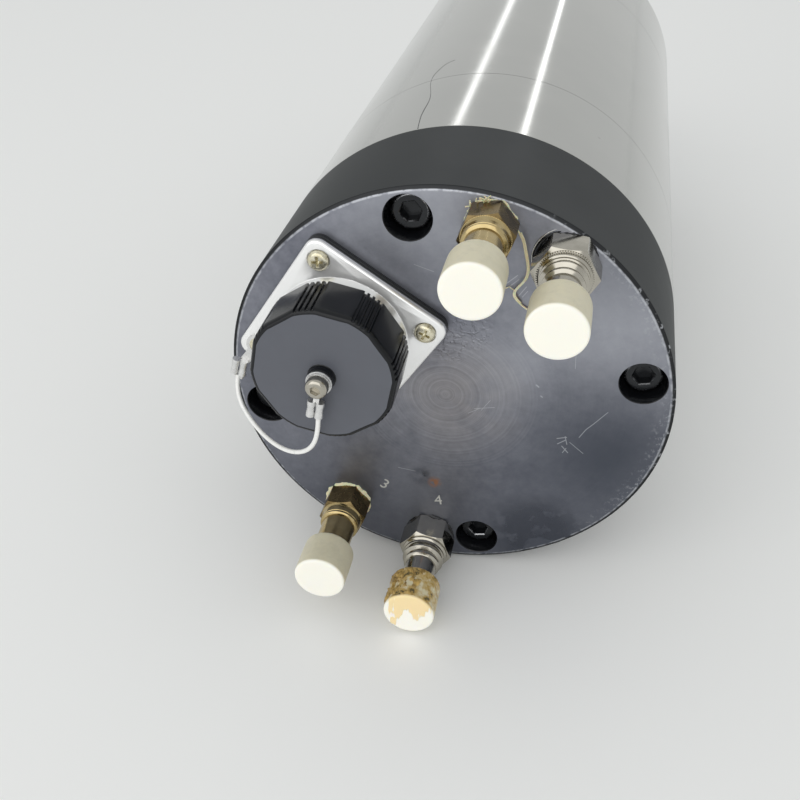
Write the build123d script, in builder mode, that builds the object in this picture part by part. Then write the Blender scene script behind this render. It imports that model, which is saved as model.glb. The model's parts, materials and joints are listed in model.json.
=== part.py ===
"""Motor spindle with a round clamping body, a collet nose and its ports at the rear.

The spindle axis lies along Y. The rear cover faces -Y and the collet nose points to +Y.
The origin is on the axis, half way along the motor housing, which is where a clamp grips it.
The rear face is laid out as seen from behind, X to the right and Z up. The whole layout is
turned by lay_angle, because the round body lies a little way round on its side.
All lengths are in millimetres.
"""
import os
from math import atan2, cos, degrees, hypot, radians, sin, tan

from build123d import *

# ---------------------------------------------------------------- driving dimensions

# Stack of housings
body_diameter = 120.0
rear_cover_length = 39.5
rear_housing_length = 44.0
motor_housing_length = 132.5
front_housing_length = 52.0
rim_bevel_width = 1.2
rim_bevel_depth = 0.6
lay_angle = 11.9

# Bolts of the rear cover and of the front housing
bolt_edge_distance = 8.0
bolt_count = 4
bolt_thread_diameter = 6.0
bolt_clearance = 0.3
bolt_head_diameter = 10.0
bolt_head_height = 6.0
bolt_head_sink = 3.8
bolt_socket_width = 5.0
bolt_socket_depth = 3.0
bolt_engagement = 12.0
counterbore_diameter = 12.2

# Rear cover
rear_wall = 14.0
chamber_wall = 15.0

# Ports in the rear cover
port_edge_distance = 8.0
port_bore_diameter = 8.6
brass_port_angles = (67.7, 225.0)
nickel_port_angles = (45.0, 254.4)
fitting_engagement = 9.0
fitting_key_width = 4.0
thread_play = 0.05
brass_hex_width = 12.2
brass_hex_height = 8.0
nickel_hex_width = 14.0
nickel_hex_height = 8.4
brass_hex_turns = (20.0, 25.8)
nickel_hex_turns = (5.0, 38.3)
collar_diameter = 11.2
collar_height = 3.4
brass_neck_diameter = 9.6
nickel_neck_diameter = 8.8
neck_reach = 30.0

# Soft protective caps on the ports
port_cap_diameter = 14.2
port_cap_reach = 32.9
port_cap_length = 11.4
port_cap_play = 0.3

# Electrical connector
connector_offset_x = -23.65
connector_offset_z = 22.1
connector_turn = 45.0
flange_width = 42.2
flange_thickness = 1.6
flange_corner_radius = 3.5
flange_edge_bevel = 0.5
gasket_thickness = 2.6
dome_base_diameter = 36.4
dome_top_diameter = 33.0
dome_height = 2.8
barrel_diameter = 30.0
barrel_reach = 18.0
barrel_bore_diameter = 25.0
barrel_bore_depth = 13.0
tail_barrel_diameter = 22.6
tail_barrel_depth = 17.0
insert_diameter = 19.0
insert_reach = 12.0
insert_play = 0.05
blade_count = 4
blade_circle_diameter = 10.0
blade_width = 3.2
blade_thickness = 1.2
blade_length = 4.6
hole_play = 0.3

# Dust cap on the connector
dust_cap_diameter = 38.2
dust_cap_flat_width = 37.2
dust_cap_reach = 22.0
dust_cap_length = 14.4
dust_cap_wall = 3.0
dust_cap_play = 0.3
grip_corners = 8
grooves_per_corner = 4
groove_spacing_angle = 4.6
groove_depth = 0.65
groove_stop = 1.6
boss_diameter = 7.0
boss_height = 2.4

# Swivel screw and lanyard
swivel_screw_head_diameter = 5.8
swivel_screw_head_height = 2.0
swivel_screw_diameter = 3.0
swivel_play = 0.1
eyelet_diameter = 6.8
eyelet_thickness = 1.2
ferrule_width = 4.4
ferrule_thickness = 2.4
ferrule_length = 4.8
ferrule_bevel = 0.8
ferrule_lift = 0.2
ferrule_offset = 7.8
cap_ferrule_angle = -110.9
corner_screw_spacing = 32.5
corner_tab_diameter = 6.8
corner_tab_thickness = 0.8
corner_ferrule_x = -53.8
corner_ferrule_z = 16.4
corner_ferrule_angle = -116.0
lanyard_diameter = 1.3
bend_share = 0.45
lanyard_route = [
    (-28.2, 25.2, 6.5),
    (-28.6, 25.0, 0.6),
    (-31.4, 24.0, -5.6),
    (-37.2, 21.4, -9.6),
    (-44.2, 17.6, -10.2),
    (-50.6, 13.2, -8.2),
    (-55.2, 9.4, -4.8),
    (-57.0, 6.6, -0.8),
    (-56.6, 5.7, 2.35),
]

# Shaft, rotor and stator
motor_end_space = 21.25
rotor_diameter = 56.0
air_gap = 0.5
rotor_bore = 44.0
winding_wall = 11.0
jacket_wall = 10.0
winding_length = 16.0
winding_side_gap = 4.5
winding_bundles = 18
housing_wall = 5.0
channel_count = 8
channel_width = 16.0
channel_depth = 5.0
channel_end_land = 8.0

# Bearings
front_bearing_bore = 40.0
front_bearing_diameter = 68.0
front_bearing_length = 30.0
rear_bearing_bore = 30.0
rear_bearing_diameter = 55.0
rear_bearing_length = 13.0
race_share = 0.33
ball_ring_play = 0.3
ball_count = 18
cage_recess = 2.0
lock_nut_diameter = 42.0
lock_nut_length = 8.0
lock_nut_slot = 4.0
shaft_tail = 2.0
seat_shoulder_length = 10.0

# Nose
front_cover_inset = 14.0
front_cover_thickness = 8.0
front_cover_bore = 52.0
spanner_slots = 4
spanner_slot_width = 7.0
spanner_slot_depth = 4.0
labyrinth_diameter = 62.0
labyrinth_thickness = 6.0
labyrinth_gap = 0.4
nose_diameter = 32.0
nose_length = 22.0
nut_diameter = 42.0
nut_length = 20.0
nut_slots = 4
nut_slot_width = 6.0
nut_slot_depth = 3.0
nut_slot_length = 12.0
nut_bevel = 1.5
nut_relief = 0.6
nut_collet_gap = 0.3
nut_thread_play = 0.1
collet_front_diameter = 25.0
collet_length = 34.0
collet_half_angle = 8.0
collet_head_length = 5.0
collet_cone_drop = 1.8
collet_cone_length = 3.0
collet_bore = 12.0
collet_slots = 6
collet_slot_width = 1.0
collet_slot_run_out = 1.0
collet_uncut = 6.0
collet_seat_play = 0.05
taper_run_out = 1.0

# ---------------------------------------------------------------- stations along the axis

motor_start = -motor_housing_length / 2
motor_end = motor_housing_length / 2
rear_housing_start = motor_start - rear_housing_length
rear_face = rear_housing_start - rear_cover_length
front_face = motor_end + front_housing_length

body_radius = body_diameter / 2
bolt_circle_radius = body_radius - bolt_edge_distance
port_circle_radius = body_radius - port_edge_distance
chamber_radius = body_radius - chamber_wall
jacket_radius = body_radius - housing_wall
stator_radius = jacket_radius - jacket_wall
front_cover_radius = body_radius - front_cover_inset
rotor_length = motor_housing_length - 2 * motor_end_space
counterbore_depth = bolt_head_sink + bolt_head_height
bolt_hole_radius = bolt_thread_diameter / 2 + bolt_clearance

os.makedirs("parts", exist_ok=True)


def save(piece, name):
    """Name a finished piece and write it to its own file."""
    piece.part.label = name
    export_step(piece.part, f"parts/{name}.step")


def section(station):
    """Cross-section plane seen from behind; extruding by a negative amount goes to the nose."""
    turn = radians(lay_angle)
    return Plane(origin=(0, station, 0), x_dir=(cos(turn), 0, sin(turn)), z_dir=(0, -1, 0))


def local_section(station, x, z, turn=0.0):
    """The same plane with its origin moved to a feature of the rear face, and turned."""
    return section(station) * Location((x, z, 0), (0, 0, turn))


def race_wall(bore, outside):
    """Thickness of each of a bearing's two rings."""
    return race_share * (outside - bore) / 2


def connector_section(height, turn=0.0):
    """Plane across the connector's axis, at a height behind the rear face."""
    return Plane(local_section(rear_face - height, connector_offset_x, connector_offset_z, turn))


# ---------------------------------------------------------------- housings


def make_rear_cover():
    """Black rear cover: bolts, ports and connector in its wall, wiring chamber in front."""
    with BuildPart() as rear_cover:
        with BuildSketch(Plane.XY):
            with BuildLine():
                Polyline(
                    (0, rear_face),
                    (body_radius - rim_bevel_width, rear_face),
                    (body_radius, rear_face + rim_bevel_depth),
                    (body_radius, rear_housing_start),
                    (chamber_radius, rear_housing_start),
                    (chamber_radius, rear_face + rear_wall),
                    (0, rear_face + rear_wall),
                    close=True,
                )
            make_face()
        revolve(axis=Axis.Y)
        with Locations(section(rear_face)):
            with PolarLocations(bolt_circle_radius, bolt_count):
                CounterBoreHole(bolt_hole_radius, counterbore_diameter / 2, counterbore_depth,
                                depth=rear_cover_length)
            for angle in brass_port_angles + nickel_port_angles:
                with PolarLocations(port_circle_radius, 1, start_angle=angle):
                    Hole(port_bore_diameter / 2, depth=rear_cover_length)
        with Locations(connector_section(0)):
            Hole(tail_barrel_diameter / 2 + hole_play, depth=rear_wall)
    save(rear_cover, "rear_cover")


def make_rear_bearing_housing():
    """Ring between rear cover and motor, with the seat of the rear bearing."""
    seat_start = rear_housing_start + seat_shoulder_length
    ring_wall = race_wall(rear_bearing_bore, rear_bearing_diameter)
    shoulder_radius = rear_bearing_diameter / 2 - ring_wall
    with BuildPart() as rear_bearing_housing:
        with BuildSketch(Plane.XY):
            with BuildLine():
                Polyline(
                    (shoulder_radius, rear_housing_start),
                    (body_radius, rear_housing_start),
                    (body_radius, motor_start),
                    (rear_bearing_diameter / 2, motor_start),
                    (rear_bearing_diameter / 2, seat_start),
                    (shoulder_radius, seat_start),
                    close=True,
                )
            make_face()
        revolve(axis=Axis.Y)
        with Locations(section(rear_housing_start)):
            with PolarLocations(bolt_circle_radius, bolt_count):
                Hole(bolt_thread_diameter / 2 + thread_play, depth=bolt_engagement)
    save(rear_bearing_housing, "rear_bearing_housing")


def make_motor_housing():
    """Ground tube that the clamp grips; the cooling jacket seats inside it."""
    with BuildPart() as motor_housing:
        with BuildSketch(section(motor_start)):
            Circle(body_radius)
            Circle(jacket_radius, mode=Mode.SUBTRACT)
        extrude(amount=-motor_housing_length)
    save(motor_housing, "motor_housing")


def make_cooling_jacket():
    """Sleeve round the stator with lengthwise channels, joined at alternate ends."""
    channel_length = motor_housing_length - 2 * channel_end_land
    pitch_angle = 360 / channel_count
    link_width = 2 * jacket_radius * sin(radians(pitch_angle / 2))
    with BuildPart() as cooling_jacket:
        with BuildSketch(section(motor_start)):
            Circle(jacket_radius)
            Circle(stator_radius, mode=Mode.SUBTRACT)
        extrude(amount=-motor_housing_length)
        with BuildSketch(section(motor_start + channel_end_land)):
            with PolarLocations(jacket_radius, channel_count, start_angle=pitch_angle / 2):
                Rectangle(2 * channel_depth, channel_width)
        extrude(amount=-channel_length, mode=Mode.SUBTRACT)
        for index in range(channel_count - 1):
            at_front = index % 2
            link_station = motor_start + channel_end_land
            if at_front:
                link_station = motor_end - channel_end_land - channel_width
            with BuildSketch(section(link_station)):
                with PolarLocations(jacket_radius, 1, start_angle=(index + 1) * pitch_angle):
                    Rectangle(2 * channel_depth, link_width)
            extrude(amount=-channel_width, mode=Mode.SUBTRACT)
    save(cooling_jacket, "cooling_jacket")


def make_front_bearing_housing():
    """Front ring with the seat of the front bearing, bolted to the motor from the front."""
    seat_end = front_face - front_bearing_length
    ring_wall = race_wall(front_bearing_bore, front_bearing_diameter)
    shoulder_radius = front_bearing_diameter / 2 - ring_wall
    with BuildPart() as front_bearing_housing:
        with BuildSketch(Plane.XY):
            with BuildLine():
                Polyline(
                    (shoulder_radius, motor_end),
                    (body_radius, motor_end),
                    (body_radius, front_face),
                    (front_bearing_diameter / 2, front_face),
                    (front_bearing_diameter / 2, seat_end),
                    (shoulder_radius, seat_end),
                    close=True,
                )
            make_face()
        revolve(axis=Axis.Y)
    save(front_bearing_housing, "front_bearing_housing")


def make_front_cover():
    """Front cover that holds the bearing's outer ring, with slots for a pin spanner."""
    cover_end = front_face + front_cover_thickness
    with BuildPart() as front_cover:
        with BuildSketch(section(front_face)):
            Circle(front_cover_radius)
            Circle(front_cover_bore / 2, mode=Mode.SUBTRACT)
        extrude(amount=-front_cover_thickness)
        with BuildSketch(section(cover_end)):
            with PolarLocations(front_cover_radius, spanner_slots):
                Rectangle(2 * spanner_slot_depth, spanner_slot_width)
        extrude(amount=spanner_slot_depth, mode=Mode.SUBTRACT)
    save(front_cover, "front_cover")


def make_cover_bolts():
    """Socket-head bolts sunk in the rear cover and screwed into the rear housing."""
    head_face = rear_face + bolt_head_sink
    shank_length = rear_cover_length - counterbore_depth + bolt_engagement
    with BuildPart() as cover_bolts:
        with BuildSketch(section(head_face)):
            with PolarLocations(bolt_circle_radius, bolt_count):
                Circle(bolt_head_diameter / 2)
        extrude(amount=-bolt_head_height)
        with BuildSketch(section(rear_face + counterbore_depth)):
            with PolarLocations(bolt_circle_radius, bolt_count):
                Circle(bolt_thread_diameter / 2)
        extrude(amount=-shank_length)
        with BuildSketch(section(head_face)):
            with PolarLocations(bolt_circle_radius, bolt_count):
                RegularPolygon(bolt_socket_width / 2, 6, major_radius=False)
        extrude(amount=-bolt_socket_depth, mode=Mode.SUBTRACT)
    save(cover_bolts, "cover_bolts")


# ---------------------------------------------------------------- motor


def make_stator():
    """Laminated stator core and the laced end bundles of its winding."""
    bundle_outer = stator_radius - winding_side_gap
    bundle_inner = bundle_outer - winding_wall
    with BuildPart() as stator_core:
        with BuildSketch(section(-rotor_length / 2)):
            Circle(stator_radius)
            Circle(rotor_diameter / 2 + air_gap, mode=Mode.SUBTRACT)
        extrude(amount=-rotor_length)
    save(stator_core, "stator_core")
    ends = {
        "rear_winding": -rotor_length / 2 - winding_length,
        "front_winding": rotor_length / 2,
    }
    for name, start in ends.items():
        with BuildPart() as winding:
            with BuildSketch(section(start)):
                RegularPolygon(bundle_outer, winding_bundles)
                RegularPolygon(bundle_inner, winding_bundles, major_radius=False,
                               mode=Mode.SUBTRACT)
            extrude(amount=-winding_length)
        save(winding, name)


def make_rotor():
    """Squirrel-cage rotor core, shrunk on the shaft."""
    with BuildPart() as rotor_core:
        with BuildSketch(section(-rotor_length / 2)):
            Circle(rotor_diameter / 2)
            Circle(rotor_bore / 2, mode=Mode.SUBTRACT)
        extrude(amount=-rotor_length)
    save(rotor_core, "rotor_core")


# ---------------------------------------------------------------- shaft and bearings

rear_bearing_start = rear_housing_start + seat_shoulder_length
rear_bearing_end = rear_bearing_start + rear_bearing_length
front_bearing_end = front_face
front_bearing_start = front_bearing_end - front_bearing_length
labyrinth_start = front_face + front_cover_thickness + labyrinth_gap
nose_start = labyrinth_start + labyrinth_thickness
nose_end = nose_start + nose_length
taper_slope = tan(radians(collet_half_angle))


def make_shaft():
    """Stepped shaft with bearing seats, a threaded nose and the collet's taper inside it."""
    shaft_start = rear_bearing_start - lock_nut_length - shaft_tail
    taper_mouth = collet_front_diameter / 2 + collet_seat_play
    taper_depth = collet_length - collet_head_length + taper_run_out
    taper_end = taper_mouth - taper_depth * taper_slope
    with BuildPart() as shaft:
        with BuildSketch(Plane.XY):
            with BuildLine():
                Polyline(
                    (0, shaft_start),
                    (rear_bearing_bore / 2, shaft_start),
                    (rear_bearing_bore / 2, rear_bearing_end),
                    (rotor_bore / 2, rear_bearing_end),
                    (rotor_bore / 2, front_bearing_start),
                    (front_bearing_bore / 2, front_bearing_start),
                    (front_bearing_bore / 2, nose_start),
                    (nose_diameter / 2, nose_start),
                    (nose_diameter / 2, nose_end),
                    (taper_mouth, nose_end),
                    (taper_end, nose_end - taper_depth),
                    (0, nose_end - taper_depth),
                    close=True,
                )
            make_face()
        revolve(axis=Axis.Y)
    save(shaft, "shaft")


def make_ring(name, start, length, outer_radius, inner_radius):
    """A plain turned ring on the spindle axis."""
    with BuildPart() as ring:
        with BuildSketch(section(start)):
            Circle(outer_radius)
            Circle(inner_radius, mode=Mode.SUBTRACT)
        extrude(amount=-length)
    save(ring, name)


def make_bearing(end, start, length, bore, outside):
    """Outer ring, inner ring and the ball cage that runs between them."""
    ring_wall = race_wall(bore, outside)
    outer_race = outside / 2 - ring_wall
    inner_race = bore / 2 + ring_wall
    make_ring(f"{end}_bearing_outer_ring", start, length, outside / 2, outer_race)
    make_ring(f"{end}_bearing_inner_ring", start, length, inner_race, bore / 2)
    with BuildPart() as ball_cage:
        with BuildSketch(section(start + cage_recess)):
            RegularPolygon(outer_race - ball_ring_play, ball_count)
            RegularPolygon(inner_race + ball_ring_play, ball_count, major_radius=False,
                           mode=Mode.SUBTRACT)
        extrude(amount=2 * cage_recess - length)
    save(ball_cage, f"{end}_ball_cage")


def make_lock_nut():
    """Slotted nut that holds the rear bearing's inner ring."""
    start = rear_bearing_start - lock_nut_length
    with BuildPart() as lock_nut:
        with BuildSketch(section(start)):
            Circle(lock_nut_diameter / 2)
            Circle(rear_bearing_bore / 2, mode=Mode.SUBTRACT)
            with PolarLocations(lock_nut_diameter / 2, spanner_slots):
                Rectangle(lock_nut_slot, lock_nut_slot, mode=Mode.SUBTRACT)
        extrude(amount=-lock_nut_length)
    save(lock_nut, "lock_nut")


def make_labyrinth_ring():
    """Ring on the shaft that throws coolant off and seals the front cover without touching."""
    with BuildPart() as labyrinth_ring:
        with BuildSketch(Plane.XY):
            with BuildLine():
                Polyline(
                    (front_bearing_bore / 2, front_bearing_end),
                    (front_cover_bore / 2 - labyrinth_gap, front_bearing_end),
                    (front_cover_bore / 2 - labyrinth_gap, labyrinth_start),
                    (labyrinth_diameter / 2, labyrinth_start),
                    (labyrinth_diameter / 2, nose_start),
                    (front_bearing_bore / 2, nose_start),
                    close=True,
                )
            make_face()
        revolve(axis=Axis.Y)
    save(labyrinth_ring, "labyrinth_ring")


# ---------------------------------------------------------------- collet and nut


def make_collet():
    """Slotted spring collet, tapered at the back and with a cone and groove at the head."""
    collet_front = nose_end + collet_head_length
    head_radius = collet_front_diameter / 2
    tail_radius = head_radius - (collet_length - collet_head_length) * taper_slope
    slit_length = collet_length - collet_uncut
    with BuildPart() as collet:
        with BuildSketch(Plane.XY):
            with BuildLine():
                Polyline(
                    (collet_bore / 2, collet_front),
                    (head_radius - collet_cone_drop, collet_front),
                    (head_radius, collet_front - collet_cone_length),
                    (head_radius, nose_end),
                    (tail_radius, collet_front - collet_length),
                    (collet_bore / 2, collet_front - collet_length),
                    close=True,
                )
            make_face()
        revolve(axis=Axis.Y)
        with BuildSketch(section(collet_front)):
            with PolarLocations(head_radius, collet_slots):
                Rectangle(2 * (head_radius - collet_slot_run_out), collet_slot_width)
        extrude(amount=slit_length, mode=Mode.SUBTRACT)
        with BuildSketch(section(collet_front - collet_length)):
            with PolarLocations(head_radius, collet_slots, start_angle=180 / collet_slots):
                Rectangle(2 * (head_radius - collet_slot_run_out), collet_slot_width)
        extrude(amount=-slit_length, mode=Mode.SUBTRACT)
    save(collet, "collet")


def make_collet_nut():
    """Round clamping nut with spanner slots; its inner cone closes the collet."""
    collet_front = nose_end + collet_head_length
    nut_front = collet_front + nut_collet_gap
    nut_back = nut_front - nut_length
    thread_radius = nose_diameter / 2 + nut_thread_play
    cone_play = collet_front_diameter / 2 + nut_collet_gap
    with BuildPart() as collet_nut:
        with BuildSketch(Plane.XY):
            with BuildLine():
                Polyline(
                    (thread_radius, nut_back),
                    (nut_diameter / 2, nut_back),
                    (nut_diameter / 2, nut_front - nut_bevel),
                    (nut_diameter / 2 - nut_bevel, nut_front),
                    (cone_play - collet_cone_drop, nut_front),
                    (cone_play, nut_front - collet_cone_length),
                    (cone_play, nose_end + nut_relief),
                    (thread_radius, nose_end + nut_relief),
                    close=True,
                )
            make_face()
        revolve(axis=Axis.Y)
        with BuildSketch(section(nut_front)):
            with PolarLocations(nut_diameter / 2, nut_slots):
                Rectangle(2 * nut_slot_depth, nut_slot_width)
        extrude(amount=nut_slot_length, mode=Mode.SUBTRACT)
    save(collet_nut, "collet_nut")


# ---------------------------------------------------------------- fittings and their caps


def port_place(angle, height, turn=0.0):
    """Plane across a port, at a height behind the rear face."""
    around = radians(angle)
    return Plane(local_section(rear_face - height, port_circle_radius * cos(around),
                               port_circle_radius * sin(around), turn))


outward = (Align.CENTER, Align.CENTER, Align.MIN)
inward = (Align.CENTER, Align.CENTER, Align.MAX)


def make_fittings(name, angles, hex_turns, hex_width, hex_height, neck_diameter):
    """Hexagon fittings with collar and hose neck; a key fits the hexagonal bore."""
    with BuildPart() as fittings:
        for angle, hex_turn in zip(angles, hex_turns):
            with BuildSketch(port_place(angle, 0, hex_turn - lay_angle)):
                RegularPolygon(hex_width / 2, 6, major_radius=False)
            extrude(amount=hex_height)
            with Locations(port_place(angle, hex_height)):
                Cylinder(collar_diameter / 2, collar_height, align=outward)
                Cylinder(neck_diameter / 2, neck_reach - hex_height, align=outward)
            with Locations(port_place(angle, 0)):
                Cylinder(port_bore_diameter / 2 - thread_play, fitting_engagement, align=inward)
            with BuildSketch(port_place(angle, neck_reach)):
                RegularPolygon(fitting_key_width / 2, 6, major_radius=False)
            extrude(amount=-neck_reach - fitting_engagement, mode=Mode.SUBTRACT)
    save(fittings, name)


def make_port_cap(name, angle, neck_diameter):
    """Soft cap pushed over a fitting's neck."""
    cap_floor = neck_reach + port_cap_play
    cap_mouth = port_cap_reach - port_cap_length
    with BuildPart() as port_cap:
        with Locations(port_place(angle, cap_mouth)):
            Cylinder(port_cap_diameter / 2, port_cap_length, align=outward)
            Cylinder(neck_diameter / 2 + port_cap_play, cap_floor - cap_mouth, align=outward,
                     mode=Mode.SUBTRACT)
    save(port_cap, name)


# ---------------------------------------------------------------- connector and dust cap


def make_connector():
    """Gasket, flanged shell, insulating insert and contact blades."""
    gasket_top = gasket_thickness
    flange_top = gasket_top + flange_thickness
    dome_top = flange_top + dome_height
    tail_radius = tail_barrel_diameter / 2
    with BuildPart() as gasket:
        with BuildSketch(connector_section(0, connector_turn)):
            RectangleRounded(flange_width, flange_width, flange_corner_radius)
            Circle(tail_radius + hole_play, mode=Mode.SUBTRACT)
        extrude(amount=gasket_thickness)
    save(gasket, "connector_gasket")
    with BuildPart() as shell:
        with BuildSketch(connector_section(gasket_top, connector_turn)):
            RectangleRounded(flange_width, flange_width, flange_corner_radius)
        extrude(amount=flange_thickness)
        chamfer(shell.faces().sort_by(Axis.Y)[0].edges(), flange_edge_bevel)
        with BuildSketch(connector_section(flange_top)):
            Circle(dome_base_diameter / 2)
        with BuildSketch(connector_section(dome_top)):
            Circle(dome_top_diameter / 2)
        loft()
        with Locations(connector_section(dome_top)):
            Cylinder(barrel_diameter / 2, barrel_reach - dome_top, align=outward)
        with Locations(connector_section(gasket_top)):
            Cylinder(tail_radius, tail_barrel_depth + gasket_top, align=inward)
        with Locations(connector_section(barrel_reach)):
            Cylinder(barrel_bore_diameter / 2, barrel_bore_depth, align=inward,
                     mode=Mode.SUBTRACT)
            Hole(insert_diameter / 2, depth=barrel_reach + tail_barrel_depth)
    save(shell, "connector_shell")
    with BuildPart() as insert:
        with Locations(connector_section(insert_reach)):
            Cylinder(insert_diameter / 2 - insert_play, insert_reach + tail_barrel_depth,
                     align=inward)
    save(insert, "connector_insert")
    with BuildPart() as blades:
        with BuildSketch(connector_section(insert_reach, connector_turn)):
            with PolarLocations(blade_circle_diameter / 2, blade_count):
                Rectangle(blade_thickness, blade_width)
        extrude(amount=blade_length)
    save(blades, "contact_blades")


def make_dust_cap():
    """Screw cap with eight flats, and gripping grooves at the corners between them."""
    cap_mouth = dust_cap_reach - dust_cap_length
    cavity_depth = dust_cap_length - dust_cap_wall
    with BuildPart() as dust_cap:
        with BuildSketch(connector_section(cap_mouth)):
            Circle(dust_cap_diameter / 2)
            RegularPolygon(dust_cap_flat_width / 2, grip_corners, major_radius=False,
                           mode=Mode.INTERSECT)
        extrude(amount=dust_cap_length)
        for corner in range(grip_corners):
            corner_angle = corner * 360 / grip_corners
            first_angle = corner_angle - (grooves_per_corner - 1) * groove_spacing_angle / 2
            with BuildSketch(connector_section(cap_mouth)):
                with PolarLocations(dust_cap_diameter / 2, grooves_per_corner,
                                    start_angle=first_angle,
                                    angular_range=grooves_per_corner * groove_spacing_angle):
                    RegularPolygon(groove_depth, 4)
            extrude(amount=dust_cap_length - groove_stop, mode=Mode.SUBTRACT)
        with Locations(connector_section(cap_mouth)):
            Cylinder(barrel_diameter / 2 + dust_cap_play, cavity_depth, align=outward,
                     mode=Mode.SUBTRACT)
        with Locations(connector_section(dust_cap_reach)):
            Cylinder(boss_diameter / 2, boss_height, align=outward)
        with Locations(connector_section(dust_cap_reach + boss_height)):
            Hole(swivel_screw_diameter / 2, depth=boss_height + dust_cap_wall)
    save(dust_cap, "dust_cap")


def make_swivel_screw():
    """Shouldered screw in the middle of the dust cap, on which the lanyard's eyelet turns."""
    head_seat = dust_cap_reach + boss_height + eyelet_thickness + swivel_play * 2
    shank_length = head_seat - dust_cap_reach + dust_cap_wall
    with BuildPart() as swivel_screw:
        with Locations(connector_section(head_seat)):
            Cylinder(swivel_screw_head_diameter / 2, swivel_screw_head_height, align=outward)
            Cylinder(swivel_screw_diameter / 2, shank_length, align=inward)
    save(swivel_screw, "swivel_screw")


# ---------------------------------------------------------------- lanyard


def add_ferrule(centre_height, x, z, angle):
    """Crimped double barrel, added to the piece being built, lying in the layout plane."""
    place = Plane(local_section(rear_face - centre_height, x, z, angle))
    with BuildPart(place, mode=Mode.PRIVATE) as ferrule:
        Box(ferrule_length, ferrule_width, ferrule_thickness)
        long_edges = [edge for edge in ferrule.edges() if edge.length > ferrule_width]
        chamfer(long_edges, ferrule_bevel)
    add(ferrule.part)


def make_cap_eyelet():
    """Eyelet under the swivel screw's head, with the ferrule that holds the lanyard's loop."""
    eyelet_back = dust_cap_reach + boss_height + swivel_play
    around = radians(cap_ferrule_angle)
    ferrule_x = connector_offset_x + ferrule_offset * cos(around)
    ferrule_z = connector_offset_z + ferrule_offset * sin(around)
    with BuildPart() as cap_eyelet:
        with BuildSketch(connector_section(eyelet_back, cap_ferrule_angle)):
            Circle(eyelet_diameter / 2)
            with Locations((ferrule_offset / 2, 0)):
                Rectangle(ferrule_offset, ferrule_thickness)
            Circle(swivel_screw_diameter / 2 + swivel_play, mode=Mode.SUBTRACT)
        extrude(amount=eyelet_thickness)
        add_ferrule(eyelet_back + eyelet_thickness / 2, ferrule_x, ferrule_z, cap_ferrule_angle)
    save(cap_eyelet, "cap_eyelet")


def make_corner_tab():
    """Tab under the flange's outer corner screw, with the lanyard's second ferrule."""
    tab_back = gasket_thickness + flange_thickness
    screw_x = connector_offset_x - corner_screw_spacing / 2 ** 0.5
    screw_z = connector_offset_z
    arm = hypot(corner_ferrule_x - screw_x, corner_ferrule_z - screw_z)
    arm_angle = degrees(atan2(corner_ferrule_z - screw_z, corner_ferrule_x - screw_x))
    with BuildPart() as corner_tab:
        with BuildSketch(Plane(local_section(rear_face - tab_back, screw_x, screw_z, arm_angle))):
            Circle(corner_tab_diameter / 2)
            with Locations((arm / 2, 0)):
                Rectangle(arm, ferrule_thickness)
        extrude(amount=corner_tab_thickness)
        add_ferrule(tab_back + ferrule_lift + ferrule_thickness / 2, corner_ferrule_x, corner_ferrule_z,
                    corner_ferrule_angle)
    save(corner_tab, "corner_tab")


def make_lanyard():
    """Coated wire from the eyelet's ferrule to the corner tab's, in one hanging loop."""
    points = [Vector(x, rear_face - height, z) for x, height, z in lanyard_route]
    runs = [(b - a) for a, b in zip(points, points[1:])]
    radii = []
    for before, after in zip(runs, runs[1:]):
        half_turn = radians(before.get_angle(after)) / 2
        radii.append(bend_share * min(before.length, after.length) / tan(half_turn))
    print("lanyard bend radii", [round(radius, 1) for radius in radii])
    with BuildPart() as lanyard:
        with BuildLine() as route:
            FilletPolyline(*points, radius=radii)
        start = Plane(origin=points[0], z_dir=runs[0])
        with BuildSketch(start):
            RegularPolygon(lanyard_diameter / 2, 6)
        sweep(path=route.line)
    length = sum(edge.length for edge in route.edges())
    wire_area = 1.5 * 3 ** 0.5 * (lanyard_diameter / 2) ** 2
    print("lanyard length", round(length, 1), "volume over section",
          round(lanyard.part.volume / wire_area, 1))
    save(lanyard, "lanyard")


make_rear_cover()
make_rear_bearing_housing()
make_motor_housing()
make_cooling_jacket()
make_front_bearing_housing()
make_front_cover()
make_cover_bolts()
make_stator()
make_rotor()
make_shaft()
make_bearing("rear", rear_bearing_start, rear_bearing_length, rear_bearing_bore,
             rear_bearing_diameter)
make_bearing("front", front_bearing_start, front_bearing_length, front_bearing_bore,
             front_bearing_diameter)
make_lock_nut()
make_labyrinth_ring()
make_collet()
make_collet_nut()
make_fittings("brass_fittings", brass_port_angles, brass_hex_turns, brass_hex_width,
              brass_hex_height, brass_neck_diameter)
make_fittings("nickel_fittings", nickel_port_angles, nickel_hex_turns, nickel_hex_width,
              nickel_hex_height, nickel_neck_diameter)
for number, port_angle in enumerate(sorted(brass_port_angles + nickel_port_angles), start=1):
    under_cap = brass_neck_diameter if port_angle in brass_port_angles else nickel_neck_diameter
    make_port_cap(f"port_cap_{number}", port_angle, under_cap)
make_connector()
make_dust_cap()
make_swivel_screw()
make_cap_eyelet()
make_corner_tab()
make_lanyard()
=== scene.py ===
"""Looks of the motor spindle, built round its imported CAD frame. Tables are in millimetres."""

import bmesh
import bpy
import json
import random
from math import asin, atan2, cos, degrees, pi, radians, sin, sqrt, tan
from mathutils import Matrix, Vector, noise
from mathutils.geometry import delaunay_2d_cdt

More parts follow.
